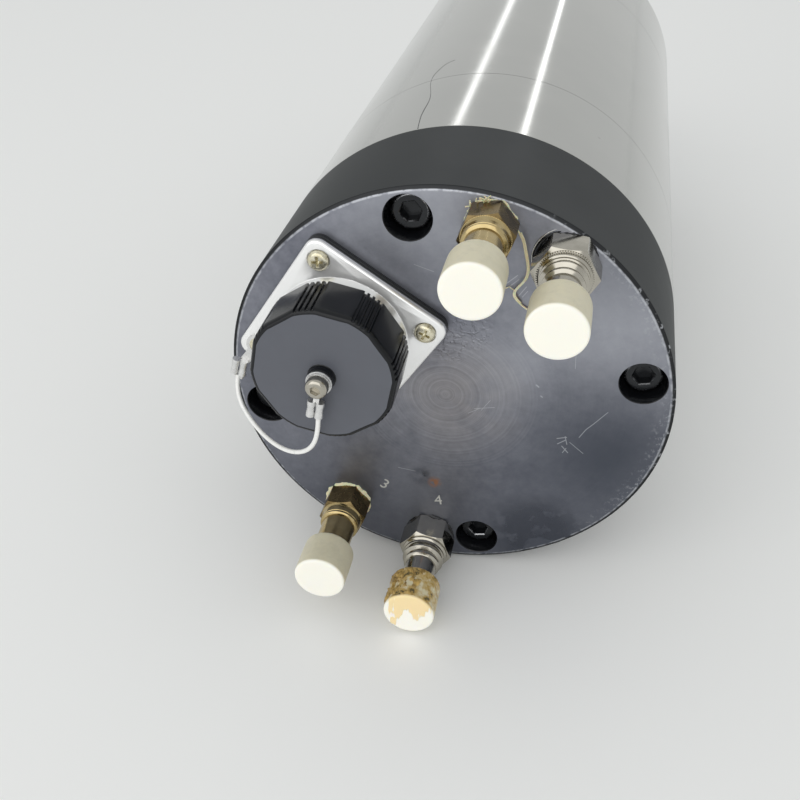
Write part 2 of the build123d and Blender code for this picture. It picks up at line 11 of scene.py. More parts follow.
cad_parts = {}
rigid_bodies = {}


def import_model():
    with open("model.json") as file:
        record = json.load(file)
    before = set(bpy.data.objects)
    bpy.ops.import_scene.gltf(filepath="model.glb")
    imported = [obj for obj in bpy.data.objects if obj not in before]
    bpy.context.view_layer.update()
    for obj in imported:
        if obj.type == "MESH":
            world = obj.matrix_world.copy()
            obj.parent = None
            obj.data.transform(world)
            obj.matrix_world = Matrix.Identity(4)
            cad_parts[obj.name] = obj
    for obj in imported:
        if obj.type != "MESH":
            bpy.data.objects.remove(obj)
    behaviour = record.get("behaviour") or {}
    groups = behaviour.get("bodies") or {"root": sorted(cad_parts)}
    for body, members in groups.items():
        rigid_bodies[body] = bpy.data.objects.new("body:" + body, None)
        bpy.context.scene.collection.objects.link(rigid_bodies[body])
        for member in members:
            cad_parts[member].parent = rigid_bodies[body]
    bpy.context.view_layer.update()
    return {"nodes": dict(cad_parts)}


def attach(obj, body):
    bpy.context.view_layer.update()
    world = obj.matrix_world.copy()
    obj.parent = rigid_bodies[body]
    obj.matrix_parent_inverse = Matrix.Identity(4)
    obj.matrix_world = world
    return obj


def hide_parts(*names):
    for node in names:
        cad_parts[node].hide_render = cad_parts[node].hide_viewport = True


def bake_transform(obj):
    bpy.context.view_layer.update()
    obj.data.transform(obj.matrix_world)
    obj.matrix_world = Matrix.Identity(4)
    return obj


MM = 0.001
for old in list(bpy.data.objects):
    bpy.data.objects.remove(old)
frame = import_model()


def placed(name, data):
    """A new object in the scene."""
    made = bpy.data.objects.new(name, data)
    bpy.context.scene.collection.objects.link(made)
    return made


# -------- camera

LENS, SENSOR_WIDTH = 44.325, 36.0
CLIP_NEAR, CLIP_FAR = 0.01, 20.0  # metres
EYE = (32.17, -363.21, 155.78)
AHEAD = Vector((-0.1655, 0.7899, -0.5905)).normalized()
ACROSS = Vector((0.979, 0.205, 0.0)).normalized()

camera_data = bpy.data.cameras.new("camera")
camera = placed("camera", camera_data)
bpy.context.scene.camera = camera
camera_data.lens = LENS
camera_data.sensor_width = SENSOR_WIDTH
camera_data.clip_start = CLIP_NEAR
camera_data.clip_end = CLIP_FAR
right = (ACROSS - AHEAD * ACROSS.dot(AHEAD)).normalized()
upward = right.cross(AHEAD)
camera.matrix_world = Matrix((
    (right.x, upward.x, -AHEAD.x, EYE[0] * MM),
    (right.y, upward.y, -AHEAD.y, EYE[1] * MM),
    (right.z, upward.z, -AHEAD.z, EYE[2] * MM),
    (0, 0, 0, 1),
))

# -------- places

REAR_FACE = -149.75
LAY = radians(11.9)
HOLE_CIRCLE = 52.0
BRASS_TOP, NICKEL_TOP, BRASS_LOW, NICKEL_LOW = 67.7, 45.0, 225.0, 254.4
CONNECTOR = (-23.65, 22.1)
FLANGE_TURN = 45.0


def layout(x=0.0, z=0.0, height=0.0, turn=0.0):
    """Matrix of a place on the rear face: x and z along it, height outward, in metres."""
    base = Matrix((
        (cos(LAY), -sin(LAY), 0, 0),
        (0, 0, -1, REAR_FACE),
        (sin(LAY), cos(LAY), 0, 0),
        (0, 0, 0, 1),
    ))
    return (Matrix.Scale(MM, 4) @ base @ Matrix.Translation((x, z, height))
            @ Matrix.Rotation(radians(turn), 4, "Z"))


def at_port(angle, turn=0.0):
    """Place on a port's axis; turn is measured in the part's frame, from +X."""
    around = radians(angle)
    return layout(HOLE_CIRCLE * cos(around), HOLE_CIRCLE * sin(around), 0.0,
                  turn - degrees(LAY))


def at_connector(turn=0.0):
    return layout(*CONNECTOR, 0.0, turn)


def face_point(x, z, height):
    """A point over the rear face, given in the part's own frame."""
    return Vector((x, REAR_FACE - height, z))


# -------- mesh making


def finish_mesh(bm, name, place, finishes, body, angle=32.0, weld=1e-5, node=None):
    """Makes the piece, with sharp edges marked, on its body and in place of its CAD node."""
    bmesh.ops.remove_doubles(bm, verts=bm.verts, dist=weld)
    bm.transform(place)
    bmesh.ops.recalc_face_normals(bm, faces=bm.faces)
    limit = radians(angle)
    for face in bm.faces:
        face.smooth = True
    for edge in bm.edges:
        if len(edge.link_faces) == 2:
            one, other = edge.link_faces
            edge.smooth = (edge.calc_face_angle(0.0) < limit
                           and one.material_index == other.material_index)
    mesh = bpy.data.meshes.new(name)
    bm.to_mesh(mesh)
    bm.free()
    for finish in finishes:
        mesh.materials.append(FINISH[finish])
    piece = placed(name, mesh)
    if body:
        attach(piece, body)
    if node:
        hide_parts(node)
    return piece


def add_rings(bm, rings, index=0):
    """Quads between successive closed rings of equal length; a ring of one point makes a fan."""
    made = [[bm.verts.new(point) for point in ring] for ring in rings]
    for low, high in zip(made, made[1:]):
        count = max(len(low), len(high))
        for i in range(count):
            j = (i + 1) % count
            if len(low) == 1 and len(high) == 1:
                continue
            if len(low) == 1:
                face = (low[0], high[j], high[i])
            elif len(high) == 1:
                face = (low[i], low[j], high[0])
            else:
                face = (low[i], low[j], high[j], high[i])
            bm.faces.new(face).material_index = index


def loop_of(radius, count, centre=(0, 0)):
    return [(centre[0] + radius * cos(2 * pi * i / count),
             centre[1] + radius * sin(2 * pi * i / count)) for i in range(count)]


def lift(loop, height):
    return [(x, y, height) for x, y in loop]


def spun(points, angle):
    """Flat points turned round the origin by an angle in radians."""
    return [(x * cos(angle) - y * sin(angle), x * sin(angle) + y * cos(angle))
            for x, y in points]


def braced(profile):
    """Adds points close to both ends of long runs, which keeps the shading of corners tight."""
    near = 0.3
    out = []
    for start, end in zip(profile, profile[1:]):
        run = Vector(end) - Vector(start)
        out.append(start)
        if run.length > 8 * near:
            out += [tuple(Vector(start) + run.normalized() * near),
                    tuple(Vector(end) - run.normalized() * near)]
    return out + [profile[-1]]


def add_turned(bm, profile, count=96, index=0, centre=(0, 0)):
    """A turned shape; profile is (radius, height) in order, and radius 0 closes it."""
    add_rings(bm, [lift(loop_of(radius, count, centre) if radius > 1e-6 else [centre], height)
                   for radius, height in braced(profile)], index)


def rounded(profile, radius, steps):
    """Rounds the inner corners of an open profile by up to the radius."""
    out = [profile[0]]
    for before, here, after in zip(profile, profile[1:], profile[2:]):
        a, b, c = Vector(before), Vector(here), Vector(after)
        cut = min(radius, (a - b).length * 0.45, (c - b).length * 0.45)
        start, end = b + (a - b).normalized() * cut, b + (c - b).normalized() * cut
        for k in range(steps + 1):
            t = k / steps
            point = start * (1 - t) ** 2 + b * 2 * t * (1 - t) + end * t ** 2
            out.append((point.x, point.y))
    out.append(profile[-1])
    return out


def add_plate(bm, outline, holes, height, index=0):
    """Flat face inside the outline at a height, leaving the holes open."""
    points, edges = [], []
    for loop in [outline] + holes:
        first = len(points)
        points += [Vector(p) for p in loop]
        edges += [(first + i, first + (i + 1) % len(loop)) for i in range(len(loop))]
    verts, _, faces, _, _, _ = delaunay_2d_cdt(points, edges, [], 1, 1e-6)

    def inside(p, loop):
        hit = False
        for (x1, y1), (x2, y2) in zip(loop, loop[1:] + loop[:1]):
            if (y1 > p.y) != (y2 > p.y) and p.x < (x2 - x1) * (p.y - y1) / (y2 - y1) + x1:
                hit = not hit
        return hit

    made = [bm.verts.new((v.x, v.y, height)) for v in verts]
    for face in faces:
        middle = sum((verts[i] for i in face), Vector((0, 0))) / len(face)
        if inside(middle, outline) and not any(inside(middle, hole) for hole in holes):
            bm.faces.new([made[i] for i in face]).material_index = index


def hex_radius(angle, across):
    """Distance from the axis to a hexagon's side, with a corner at 30 degrees."""
    return across / 2 / cos(((angle + pi / 6) % (pi / 3)) - pi / 6)


def add_hexagon(bm, across, top, chamfer_at, count):
    """Hexagon from height 0, its ends turned down at 30 degrees outside the chamfer's radius."""
    slope = tan(radians(30))
    angles = [2 * pi * i / count for i in range(count)]
    radii = [hex_radius(a, across) for a in angles]

    def ring(height, inward, turned_down):
        out = []
        for a, r in zip(angles, radii):
            reach = min(r, chamfer_at) if turned_down else r
            drop = 0 if turned_down else max(0, r - chamfer_at) * slope
            out.append((reach * cos(a), reach * sin(a), height + inward * drop))
        return out

    add_rings(bm, [ring(0.0, 1, True), ring(0.0, 1, False), ring(top, -1, False),
                   ring(top, -1, True)])


def smooth_line(points, steps=5):
    """Points read along an open NURBS spline whose control points are the given ones."""
    data = bpy.data.curves.new("route", "CURVE")
    data.dimensions = "3D"
    data.resolution_u = steps
    spline = data.splines.new("NURBS")
    spline.points.add(len(points) - 1)
    for control, point in zip(spline.points, points):
        control.co = (*point, 1.0)
    spline.order_u = 3
    spline.use_endpoint_u = True
    line = placed("route", data)
    mesh = bpy.data.meshes.new_from_object(line)
    found = [vert.co.copy() for vert in mesh.vertices]
    bpy.data.objects.remove(line)
    bpy.data.meshes.remove(mesh)
    bpy.data.curves.remove(data)
    return found


def add_tube(bm, path, radius, count, index=0):
    """A closed round tube along a path of vectors; radius may be a function of the share."""
    rings = []
    side = None
    for i, point in enumerate(path):
        onward = path[min(i + 1, len(path) - 1)] - path[max(i - 1, 0)]
        onward.normalize()
        if side is None:
            side = onward.orthogonal().normalized()
        side = (side - onward * side.dot(onward)).normalized()
        other = onward.cross(side)
        r = radius(i / (len(path) - 1)) if callable(radius) else radius
        rings.append([point + side * (r * cos(2 * pi * k / count))
                      + other * (r * sin(2 * pi * k / count)) for k in range(count)])
    add_rings(bm, [[path[0]]] + rings + [[path[-1]]], index)


# -------- material making

MIX_FACTOR, MIX_A, MIX_B, MIX_RESULT = 0, 6, 7, 2


class Net:
    """Short way to add and link nodes in a tree."""

    def __init__(self, tree):
        self.tree = tree

    def put(self, target, value):
        if isinstance(value, bpy.types.NodeSocket):
            self.tree.links.new(value, target)
        else:
            target.default_value = value

    def node(self, kind, values=(), **settings):
        made = self.tree.nodes.new("ShaderNode" + kind)
        for key, value in settings.items():
            setattr(made, key, value)
        named = values.items() if isinstance(values, dict) else enumerate(values)
        for key, value in named:
            self.put(made.inputs[key], value)
        return made

    def group(self, tree, coords, *values):
        """Places a group; its first input is the place, the rest are plain values."""
        made = self.node("Group")
        made.node_tree = tree
        self.put(made.inputs[0], coords)
        for i, value in enumerate(values, start=1):
            made.inputs[i].default_value = value
        return made.outputs

    def math(self, operation, *values):
        return self.node("Math", values, operation=operation).outputs[0]

    def times(self, a, b):
        return self.math("MULTIPLY", a, b)

    def plus(self, a, b):
        return self.math("ADD", a, b)

    def minus(self, a, b):
        return self.math("SUBTRACT", a, b)

    def most(self, a, b):
        return self.math("MAXIMUM", a, b)

    def noise(self, vector, scale, detail=3.0, rough=0.5):
        return self.node("TexNoise", {"Vector": vector, "Scale": scale, "Detail": detail,
                                      "Roughness": rough}).outputs[0]

    def ramp(self, value, low, high, to_low=0.0, to_high=1.0):
        made = self.node("MapRange", {"Value": value, "From Min": low, "From Max": high,
                                      "To Min": to_low, "To Max": to_high})
        return made.outputs[0]

    def dots(self, vector, scale, inner, outer, thin_scale, thin_low, thin_high):
        """Small round dots, left only where a coarse noise is high."""
        far = self.node("TexVoronoi", {"Vector": vector, "Scale": scale}).outputs["Distance"]
        few = self.ramp(self.noise(vector, thin_scale, 0.0), thin_low, thin_high)
        return self.times(self.ramp(far, inner, outer, 1.0, 0.0), few)

    def mix(self, factor, a, b):
        made = self.node("Mix", data_type="RGBA")
        self.put(made.inputs[MIX_FACTOR], factor)
        self.put(made.inputs[MIX_A], a)
        self.put(made.inputs[MIX_B], b)
        return made.outputs[MIX_RESULT]

    def over(self, base, mask, strength, colour):
        """Lays a colour over the base where the mask is, up to the strength."""
        return self.mix(self.times(mask, strength), base, colour)

    def bump(self, height, strength, distance):
        return self.node("Bump", {"Height": height, "Strength": strength,
                                  "Distance": distance}).outputs[0]


def rgb(r, g, b):
    return (r, g, b, 1.0)


def shader(name, base, rough, metal=0.0, **more):
    """A material with one Principled shader; base, rough and normal may be linked later."""
    mat = bpy.data.materials.new(name)
    mat.use_nodes = True
    net = Net(mat.node_tree)
    principled = mat.node_tree.nodes["Principled BSDF"]
    principled.inputs["Base Color"].default_value = base
    principled.inputs["Roughness"].default_value = rough
    principled.inputs["Metallic"].default_value = metal
    for key, value in more.items():
        principled.inputs[key.replace("_", " ")].default_value = value
    coords = net.node("TexCoord").outputs["Object"]
    return mat, net, principled, coords


def node_group(name, inputs, outputs):
    """A shader group with its sockets; an input is a label with its default, or None if linked."""
    group = bpy.data.node_groups.new(name, "ShaderNodeTree")
    for label, value in inputs:
        kind = "NodeSocketVector" if value is None else "NodeSocketFloat"
        socket = group.interface.new_socket(label, in_out="INPUT", socket_type=kind)
        if value is not None:
            socket.default_value = value
    for label in outputs:
        group.interface.new_socket(label, in_out="OUTPUT", socket_type="NodeSocketFloat")
    given = group.nodes.new("NodeGroupInput").outputs
    return group, Net(group), given, group.nodes.new("NodeGroupOutput").inputs


def wear_group():
    """Mottling, fine grime and a small bump, from a place in metres."""
    group, net, given, out = node_group(
        "surface_wear", [("Vector", None), ("Scale", 60.0), ("Amount", 0.3)],
        ["Mottle", "Grime", "Height"])
    place, scale, amount = given[0], given[1], given[2]
    big = net.noise(place, scale, 5.0, 0.6)
    fine = net.noise(place, net.times(scale, 14.0), 3.0, 0.6)
    net.put(out[0], net.times(net.minus(big, 0.5), amount))
    net.put(out[1], net.times(net.ramp(big, 0.5, 0.72), amount))
    net.put(out[2], net.plus(fine, net.times(big, 0.5)))
    return group


def stroke_group():
    """1 inside a thin straight mark from A to B, fading at its edge."""
    group, net, given, out = node_group(
        "stroke", [("Vector", None), ("A", None), ("B", None), ("Width", 0.0002)], ["Mark"])
    place, a, b, width = given[0], given[1], given[2], given[3]

    def vec(operation, *values):
        return net.node("VectorMath", values, operation=operation).outputs

    along = vec("SUBTRACT", b, a)[0]
    gone = vec("SUBTRACT", place, a)[0]
    share = net.math("DIVIDE", vec("DOT_PRODUCT", gone, along)["Value"],
                     vec("DOT_PRODUCT", along, along)["Value"])
    share = net.node("Clamp", (share, 0.0, 1.0)).outputs[0]
    foot = net.node("VectorMath", {0: along, "Scale": share}, operation="SCALE").outputs[0]
    off = vec("DISTANCE", gone, foot)["Value"]
    net.put(out[0], net.ramp(off, 0.0, width, 1.0, 0.0))
    return group


WEAR = wear_group()
STROKE = stroke_group()

# -------- black steel

SCRATCHES = (  # x and z of both ends on the rear face, and the width
    (36.7, -8.9, 38.2, -6.0, 0.16), (38.2, -6.0, 40.0, -3.8, 0.16),
    (40.0, -3.8, 43.2, 0.5, 0.14), (34.4, -11.0, 38.3, -14.2, 0.13),
    (30.9, -10.2, 33.4, -9.4, 0.2), (31.2, -12.0, 33.2, -10.4, 0.2),
    (33.0, -9.2, 33.7, -11.8, 0.17), (32.4, -12.6, 34.2, -14.6, 0.2),
    (33.6, -13.2, 32.8, -14.8, 0.16), (8.0, -3.6, 13.4, -2.4, 0.12),
    (9.9, -3.9, 12.2, -0.2, 0.10), (6.4, -5.4, 9.6, -3.2, 0.10),
    (14.0, 35.5, 16.8, 38.3, 0.15), (14.6, 34.6, 17.2, 37.2, 0.12),
    (17.5, 32.7, 19.2, 35.4, 0.15), (18.4, 32.4, 19.6, 34.2, 0.12),
    (-9.0, 38.5, -4.0, 37.0, 0.10), (33.0, 20.0, 33.4, 13.0, 0.10),
    (-13.0, -28.0, -8.0, -28.5, 0.12), (24.0, 6.5, 24.6, 6.0, 0.3),
    (25.4, 3.2, 25.8, 2.9, 0.25),
)
# Soft patches of painted highlight and of painted shade on the rear face: x, z, radius and
# strength.
PAINTED_HIGHLIGHT_PATCHES = ((42.0, 32.0, 40.0, 1.0), (-8.0, 54.0, 34.0, 1.0), (18.0, 12.0, 20.0, 0.7))
PAINTED_SHADE_PATCHES = ((45.0, -14.0, 34.0, 1.0), (32.0, -49.0, 24.0, 0.8), (42.0, 42.0, 16.0, 0.35))
BARE_STEEL = rgb(0.62, 0.64, 0.68)


def spot(net, coords, x, z, radius, soft):
    """1 near a point of the rear face, fading over the soft share of the radius."""
    centre = (x * MM, REAR_FACE * MM, z * MM)
    off = net.node("VectorMath", (coords, centre), operation="DISTANCE").outputs["Value"]
    return net.ramp(off, radius * MM * (1 - soft), radius * MM, 1.0, 0.0)


def painted_patch_mask(net, coords, patches):
    """The strongest of several very soft spots."""
    found = None
    for x, z, radius, strength in patches:
        patch = spot(net, coords, x, z, radius, 0.9)
        if strength < 1.0:
            patch = net.times(patch, strength)
        found = patch if found is None else net.most(found, patch)
    return found


def scratch_marks(net, coords):
    """All the fine scratches of the rear face in one mask."""
    found = None
    for ax, az, bx, bz, width in SCRATCHES:
        start, end = ((x * MM, REAR_FACE * MM, z * MM) for x, z in ((ax, az), (bx, bz)))
        mark = net.group(STROKE, coords, start, end, width * MM)[0]
        found = mark if found is None else net.most(found, mark)
    return found


def turned_face(net, coords, z, wear, rings, patchy):
    """Colour of the rear face: mottled steel with soft patches of painted highlight and painted
    shade, and painted shade darker below.
    """
    streaks = net.noise(coords, 300.0, 4.0, 0.7)
    tone = net.plus(net.times(wear[0], 1.2), net.times(net.minus(streaks, 0.5), 0.45))
    tone = net.plus(tone, net.times(net.minus(rings, 0.3), 0.5))
    face = net.mix(net.ramp(tone, -0.26, 0.26), rgb(0.160, 0.167, 0.200),
                   rgb(0.338, 0.348, 0.392))
    # Soft patches of painted highlight lighten the face, and patches of painted shade darken it.
    face = net.over(face, painted_patch_mask(net, coords, PAINTED_HIGHLIGHT_PATCHES), 0.5, rgb(0.455, 0.468, 0.51))
    face = net.over(face, painted_patch_mask(net, coords, PAINTED_SHADE_PATCHES), 0.9, rgb(0.068, 0.076, 0.096))
    # Painted shade: the face gets darker towards the bottom.
    face = net.mix(net.ramp(z, -0.050, 0.002, 0.64, 0.0), face, rgb(0.092, 0.100, 0.124))
    brown = net.times(spot(net, coords, 2.0, 0.0, 24.0, 0.8), patchy)
    return net.over(face, brown, 0.35, rgb(0.27, 0.235, 0.205))


def make_black_steel():
    """Black-oxide steel: turned face with rings, oil smudges, scratches, and soft patches of
    painted highlight and painted shade; darker satin side.

    Places in the shader are metres, so x, y, z and radius are ramped between metres.
    """
    mat, net, out, coords = shader("black_steel", rgb(0.05, 0.055, 0.065), 0.4, 0.85)
    out.inputs["Specular Tint"].default_value = rgb(0.45, 0.46, 0.46)
    x, y, z = net.node("SeparateXYZ", (coords,)).outputs
    radius = net.math("SQRT", net.plus(net.times(x, x), net.times(z, z)))
    on_face = net.ramp(y, (REAR_FACE + 0.08) * MM, (REAR_FACE + 0.2) * MM, 1.0, 0.0)
    wear = net.group(WEAR, coords, 38.0, 0.55)

    # Rings left by the turning tool, clearest at the middle.
    wobble = net.times(net.noise(coords, 30.0, 2.0), 0.0007)
    turns = net.node("CombineXYZ", (net.plus(radius, wobble), 0.0, 0.0)).outputs[0]
    marks = net.noise(turns, 1150.0, 3.0, 0.75)
    near = net.ramp(radius, 0.012, 0.030, 1.0, 0.16)
    patchy = net.ramp(net.noise(coords, 70.0, 3.0), 0.36, 0.6, 0.25, 1.0)
    rings = net.times(net.times(net.ramp(marks, 0.35, 0.72), near), patchy)
    rings = net.times(rings, on_face)

    face = turned_face(net, coords, z, wear, rings, patchy)
    side = net.mix(net.ramp(wear[0], -0.2, 0.2), rgb(0.080, 0.083, 0.086),
                   rgb(0.112, 0.115, 0.118))
    base = net.mix(on_face, side, face)
    base = net.over(base, scratch_marks(net, coords), 0.6, BARE_STEEL)
    specks = net.dots(coords, 190.0, 0.03, 0.055, 120.0, 0.66, 0.68)
    base = net.over(base, specks, 0.7, rgb(0.6, 0.63, 0.65))
    flecks = net.times(net.ramp(net.noise(coords, 640.0, 4.0, 0.8), 0.55, 0.62),
                       net.ramp(radius, 0.0545, 0.0585))
    flecks = net.times(flecks, net.times(on_face, net.ramp(x, 0.032, 0.050)))
    base = net.over(base, flecks, 0.45, rgb(0.50, 0.52, 0.55))
    rust = net.times(spot(net, coords, -2.4, -31.7, 2.4, 0.7),
                     net.ramp(net.noise(coords, 700.0, 2.0), 0.32, 0.52))
    base = net.over(base, rust, 0.8, rgb(0.36, 0.16, 0.07))
    smudge = net.times(spot(net, coords, -6.0, -29.6, 5.0, 0.9),
                       net.ramp(net.noise(coords, 260.0, 3.0), 0.45, 0.6))
    oily = net.times(spot(net, coords, 28.0, -45.0, 16.0, 0.5),
                     net.ramp(net.noise(coords, 110.0, 4.0), 0.44, 0.5))
    dark = net.most(smudge, oily)
    base = net.over(base, dark, 0.6, rgb(0.05, 0.055, 0.07))

    # Along the rim: a speckled bright line on the face's edge, partly wear and partly a painted
    # highlight; the bevel that follows it is painted near black as painted shade, with wear on its
    # right side.
    rim = net.times(net.ramp(radius, 0.05855, 0.0587), on_face)
    rim = net.times(rim, net.ramp(net.noise(coords, 500.0, 3.0, 0.7), 0.38, 0.55))
    # Painted shade: the bevel round the face is painted near black.
    bevel = net.times(net.minus(1.0, on_face), net.ramp(
        y, (REAR_FACE + 0.8) * MM, (REAR_FACE + 0.95) * MM, 1.0, 0.0))
    base = net.over(base, bevel, 0.8, rgb(0.02, 0.021, 0.023))
    worn = net.times(net.ramp(net.noise(coords, 380.0, 3.0, 0.7), 0.58, 0.68),
                     net.ramp(x, 0.02, 0.05, 0.0, 0.75))
    rim = net.most(net.times(rim, 0.5), net.times(bevel, worn))
    net.put(out.inputs["Base Color"], net.mix(rim, base, BARE_STEEL))

    rough = net.plus(net.ramp(on_face, 0.0, 1.0, 0.4, 0.44), net.times(wear[0], 0.3))
    net.put(out.inputs["Roughness"], net.minus(rough, net.times(dark, 0.2)))
    pits = net.times(net.most(spot(net, coords, 1.0, 16.5, 6.5, 0.6),
                              spot(net, coords, 6.0, 21.0, 7.0, 0.6)),
                     net.ramp(net.noise(coords, 620.0, 2.0, 0.6), 0.50, 0.60))
    height = net.plus(net.times(wear[2], 0.3), net.plus(net.times(rings, 0.5),
                                                        net.times(pits, 9.0)))
    net.put(out.inputs["Normal"], net.bump(height, 0.35, 0.00008))
    return mat


# -------- other finishes

JOINT_LINE = 66.25  # both joint lines lie as far as this from the middle, along Y


def make_ground_steel():
    """Cylindrically ground steel: clean grey, a few dots, and dark in the joint lines."""
    mat, net, out, coords = shader("ground_steel", rgb(0.56, 0.56, 0.54), 0.15, 1.0)
    y = net.node("SeparateXYZ", (coords,)).outputs[1]
    bands = net.noise(net.node("CombineXYZ", (0.0, y, 0.0)).outputs[0], 2600.0, 3.0, 0.8)
    wear = net.group(WEAR, coords, 30.0, 0.4)
    base = net.mix(net.ramp(wear[0], -0.12, 0.16), rgb(0.48, 0.485, 0.47),
                   rgb(0.53, 0.53, 0.51))
    dots = net.dots(coords, 75.0, 0.03, 0.05, 60.0, 0.65, 0.67)
    base = net.over(base, dots, 0.8, rgb(0.12, 0.11, 0.10))
    off = net.math("ABSOLUTE", net.minus(net.math("ABSOLUTE", y), JOINT_LINE * MM))
    base = net.mix(net.ramp(off, 0.00012, 0.0003, 0.5, 0.0), base, rgb(0.10, 0.10, 0.095))
    net.put(out.inputs["Base Color"], base)
    net.put(out.inputs["Roughness"], net.plus(0.11, net.times(wear[1], 0.1)))
    net.put(out.inputs["Normal"], net.bump(bands, 0.05, 0.00001))
    return mat


def make_plain(name, base, rough, metal, scale=80.0, amount=0.25, bump=0.1, dirt=None, **more):
    """A plain finish with a little mottling of colour, roughness and surface."""
    mat, net, out, coords = shader(name, rgb(*base), rough, metal, **more)
    wear = net.group(WEAR, coords, scale, amount)
    low = rgb(*[c * 0.78 for c in base]) if dirt is None else rgb(*dirt)
    net.put(out.inputs["Base Color"], net.mix(net.ramp(wear[0], -0.12, 0.12), low, rgb(*base)))
    net.put(out.inputs["Roughness"], net.plus(rough, wear[0]))
    net.put(out.inputs["Normal"], net.bump(wear[2], bump, 0.00005))
    return mat


def soft_rubber(name, rough, weight, reach):
    """White silicone, slightly see-through, with a mask of the end that faces outward."""
    mat, net, out, coords = shader(name, rgb(0.93, 0.9, 0.78), rough, 0.0,
                                   Subsurface_Weight=weight, Subsurface_Scale=0.002)
    out.inputs["Subsurface Radius"].default_value = reach
    _, y, z = net.node("SeparateXYZ", (coords,)).outputs
    end = net.ramp(y, (REAR_FACE - 32.7) * MM, (REAR_FACE - 32.1) * MM, 1.0, 0.0)
    return mat, net, out, coords, z, end


def make_cap_rubber():
    """Soft silicone with grey finger marks on its side."""
    mat, net, out, coords, _, end = soft_rubber("cap_rubber", 0.5, 0.35, (1.0, 0.85, 0.6))
    wear = net.group(WEAR, coords, 160.0, 0.4)
    streak = net.ramp(net.noise(coords, 420.0, 5.0, 0.7), 0.5, 0.75)
    side = net.mix(net.ramp(wear[0], 0.0, 0.16), rgb(0.66, 0.62, 0.47), rgb(0.55, 0.52, 0.39))
    side = net.over(side, streak, 0.3, rgb(0.45, 0.43, 0.34))
    net.put(out.inputs["Base Color"], net.mix(end, side, rgb(0.97, 0.94, 0.84)))
    net.put(out.inputs["Normal"], net.bump(wear[2], 0.12, 0.0001))
    return mat


def make_stained_rubber():
    """The same silicone with yellow dried sealant run over its end."""
    mat, net, out, coords, z, end = soft_rubber("stained_rubber", 0.4, 0.3, (1.0, 0.8, 0.45))
    runs = net.node("Mapping", (coords,))
    runs.inputs["Scale"].default_value = (1.0, 0.3, 0.3)
    flow = net.noise(runs.outputs[0], 380.0, 2.0, 0.5)
    high = net.ramp(z, -0.058, -0.045, -0.16, 0.16)
    drip = net.ramp(net.plus(flow, high), 0.5, 0.53)
    front = net.mix(drip, rgb(0.98, 0.95, 0.86), rgb(0.93, 0.74, 0.42))
    flecks = net.noise(coords, 300.0, 4.0, 0.6)
    side = net.mix(net.ramp(flecks, 0.42, 0.56), rgb(0.72, 0.66, 0.46), rgb(0.52, 0.36, 0.12))
    side = net.mix(net.ramp(flecks, 0.58, 0.66), side, rgb(0.10, 0.085, 0.04))
    side = net.mix(net.ramp(z, -0.056, -0.050, 1.0, 0.0), side, rgb(0.80, 0.76, 0.62))
    net.put(out.inputs["Base Color"], net.mix(end, side, front))
    net.put(out.inputs["Roughness"], net.minus(0.45, net.times(drip, 0.2)))
    net.put(out.inputs["Normal"], net.bump(net.plus(drip, flecks), 0.4, 0.0004))
    return mat


PLAIN = {  # colour, roughness, metal, then scale, amount, bump and dirt where they differ
    "turned_steel": ((0.58, 0.58, 0.57), 0.28, 1.0, 80.0, 0.25, 0.05),
    "black_screw": ((0.016, 0.018, 0.021), 0.2, 0.4, 200.0, 0.15),
    "worn_black": ((0.50, 0.51, 0.53), 0.24, 1.0, 500.0, 0.6, 0.15, (0.12, 0.122, 0.128)),
    "well": ((0.012, 0.013, 0.016), 0.22, 0.3, 200.0, 0.15),
    "aluminium": ((0.72, 0.73, 0.75), 0.35, 1.0),
    "lamination": ((0.30, 0.30, 0.32), 0.5, 0.9),
    "copper": ((0.72, 0.35, 0.2), 0.4, 0.8),
    "bearing_steel": ((0.75, 0.76, 0.78), 0.12, 1.0, 80.0, 0.25, 0.02),
    "brass": ((0.28, 0.21, 0.10), 0.26, 1.0, 240.0, 0.5, 0.12, (0.09, 0.06, 0.024)),
    "brass_bright": ((0.60, 0.49, 0.27), 0.2, 1.0, 300.0, 0.3, 0.1, (0.38, 0.28, 0.12)),
    "nickel": ((0.54, 0.515, 0.455), 0.16, 1.0, 260.0, 0.3, 0.08, (0.36, 0.34, 0.29)),
    "chrome": ((0.96, 0.965, 0.965), 0.2, 0.7, 260.0, 0.12, 0.15, (0.9, 0.9, 0.9)),
    "zinc": ((0.88, 0.85, 0.70), 0.25, 0.85, 700.0, 0.5, 0.2, (0.55, 0.50, 0.34)),
    "gasket": ((0.018, 0.019, 0.02), 0.38, 0.0, 300.0, 0.2, 0.3),
    "black_plastic": ((0.006, 0.007, 0.009), 0.22, 0.0, 350.0, 0.1, 0.1),
    "cap_face": ((0.105, 0.112, 0.134), 0.46, 0.0, 260.0, 0.15, 0.15),
    "crust": ((0.62, 0.42, 0.13), 0.3, 0.0, 420.0, 0.6, 0.5, (0.16, 0.10, 0.03)),
    "tape": ((0.86, 0.80, 0.58), 0.6, 0.0, 500.0, 0.3, 0.4, (0.66, 0.57, 0.34)),
    "wire": ((0.93, 0.93, 0.91), 0.3, 0.1, 900.0, 0.2, 0.3, (0.8, 0.8, 0.78)),
    "crimp": ((0.86, 0.86, 0.85), 0.3, 0.85, 500.0, 0.3, 0.3, (0.6, 0.6, 0.6)),
    "engraving": ((0.5, 0.5, 0.47), 0.6, 0.2, 700.0, 0.3),
}
PLAIN_EXTRAS = {
    "black_plastic": {"Specular_IOR_Level": 0.3},
    "tape": {"Subsurface_Weight": 0.3, "Subsurface_Scale": 0.001},
}
FINISH = {"black_steel": make_black_steel(), "ground_steel": make_ground_steel(),
          "cap_rubber": make_cap_rubber(), "stained_rubber": make_stained_rubber()}
for name, values in PLAIN.items():
    FINISH[name] = make_plain(name, *values, **PLAIN_EXTRAS.get(name, {}))

